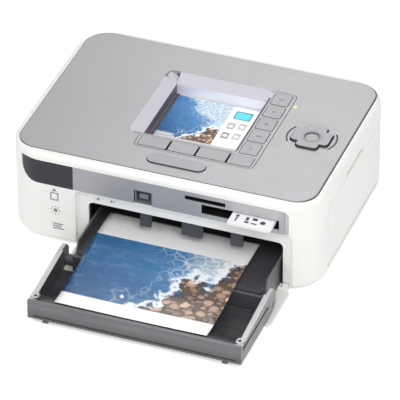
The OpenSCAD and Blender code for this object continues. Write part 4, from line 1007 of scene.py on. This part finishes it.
def seen_directly(tree):
    """1 for camera, mirror and glass rays, so that what they see doesn't light the object."""
    path = tree.nodes.new("ShaderNodeLightPath")
    seen = path.outputs["Is Camera Ray"]
    for kind in ("Is Glossy Ray", "Is Transmission Ray"):
        either = tree.nodes.new("ShaderNodeMath")
        either.operation = "ADD"
        either.use_clamp = True
        tree.links.new(seen, either.inputs[0])
        tree.links.new(path.outputs[kind], either.inputs[1])
        seen = either.outputs[0]
    return seen


def add_floor():
    """A wide pale floor that is seen as nearly white, without lighting the printer."""
    bm = bmesh.new()
    bmesh.ops.create_grid(bm, x_segments=2, y_segments=2, size=3.0)
    mesh = from_bmesh(bm, "floor")
    floor = bpy.data.objects.new("floor", mesh)
    bpy.context.scene.collection.objects.link(floor)
    s = Surface("floor_white")
    s.shader.inputs["Base Color"].default_value = (0.88, 0.88, 0.88, 1)
    s.shader.inputs["Roughness"].default_value = 0.9
    s.shader.inputs["Emission Color"].default_value = (1, 1, 1, 1)
    s.link(s.math("MULTIPLY", seen_directly(s.tree), FLOOR_GLOW),
           s.shader.inputs["Emission Strength"])
    mesh.materials.append(s.mat)


def add_world():
    """A soft, slightly cool room that lights the object, and is seen as plain white."""
    world = bpy.data.worlds.new("studio")
    bpy.context.scene.world = world
    world.use_nodes = True
    tree = world.node_tree
    tree.nodes.clear()
    out = tree.nodes.new("ShaderNodeOutputWorld")
    room = tree.nodes.new("ShaderNodeBackground")
    white = tree.nodes.new("ShaderNodeBackground")
    mix = tree.nodes.new("ShaderNodeMixShader")
    room.inputs[0].default_value = (0.96, 0.97, 1.0, 1.0)
    room.inputs[1].default_value = ROOM_LIGHT
    white.inputs[0].default_value = (1, 1, 1, 1)
    tree.links.new(seen_directly(tree), mix.inputs[0])
    tree.links.new(room.outputs[0], mix.inputs[1])
    tree.links.new(white.outputs[0], mix.inputs[2])
    tree.links.new(mix.outputs[0], out.inputs[0])


def add_lamp(name, at, target, size, watts, colour=(1, 1, 1)):
    """A square lamp; at and target are in metres from the middle of the case."""
    data = bpy.data.lights.new(name, "AREA")
    data.shape = "RECTANGLE"
    data.size = data.size_y = size
    data.energy = watts
    data.color = colour
    lamp = bpy.data.objects.new(name, data)
    bpy.context.scene.collection.objects.link(lamp)
    at = MIDDLE + Vector(at)
    lamp.location = at
    lamp.rotation_euler = (MIDDLE + Vector(target) - at).to_track_quat("-Z", "Y").to_euler()


def add_light():
    bpy.context.scene.view_settings.view_transform = "Standard"
    add_world()
    add_lamp("key", (0.34, -0.50, 0.62), (0.03, -0.04, 0.03), 0.5, 3.7, (1.0, 0.99, 0.98))
    add_lamp("fill", (-0.9, -0.8, 0.8), (0, 0, 0.03), 1.0, 4)
    add_lamp("rear", (-0.20, 0.83, 0.75), (0.06, -0.03, 0.06), 0.35, 1.3)


MATS = make_materials()
add_camera()
dress_cad_nodes()
make_print()
make_paper()
make_display()
make_cheeks()
make_marks()
add_floor()
add_light()
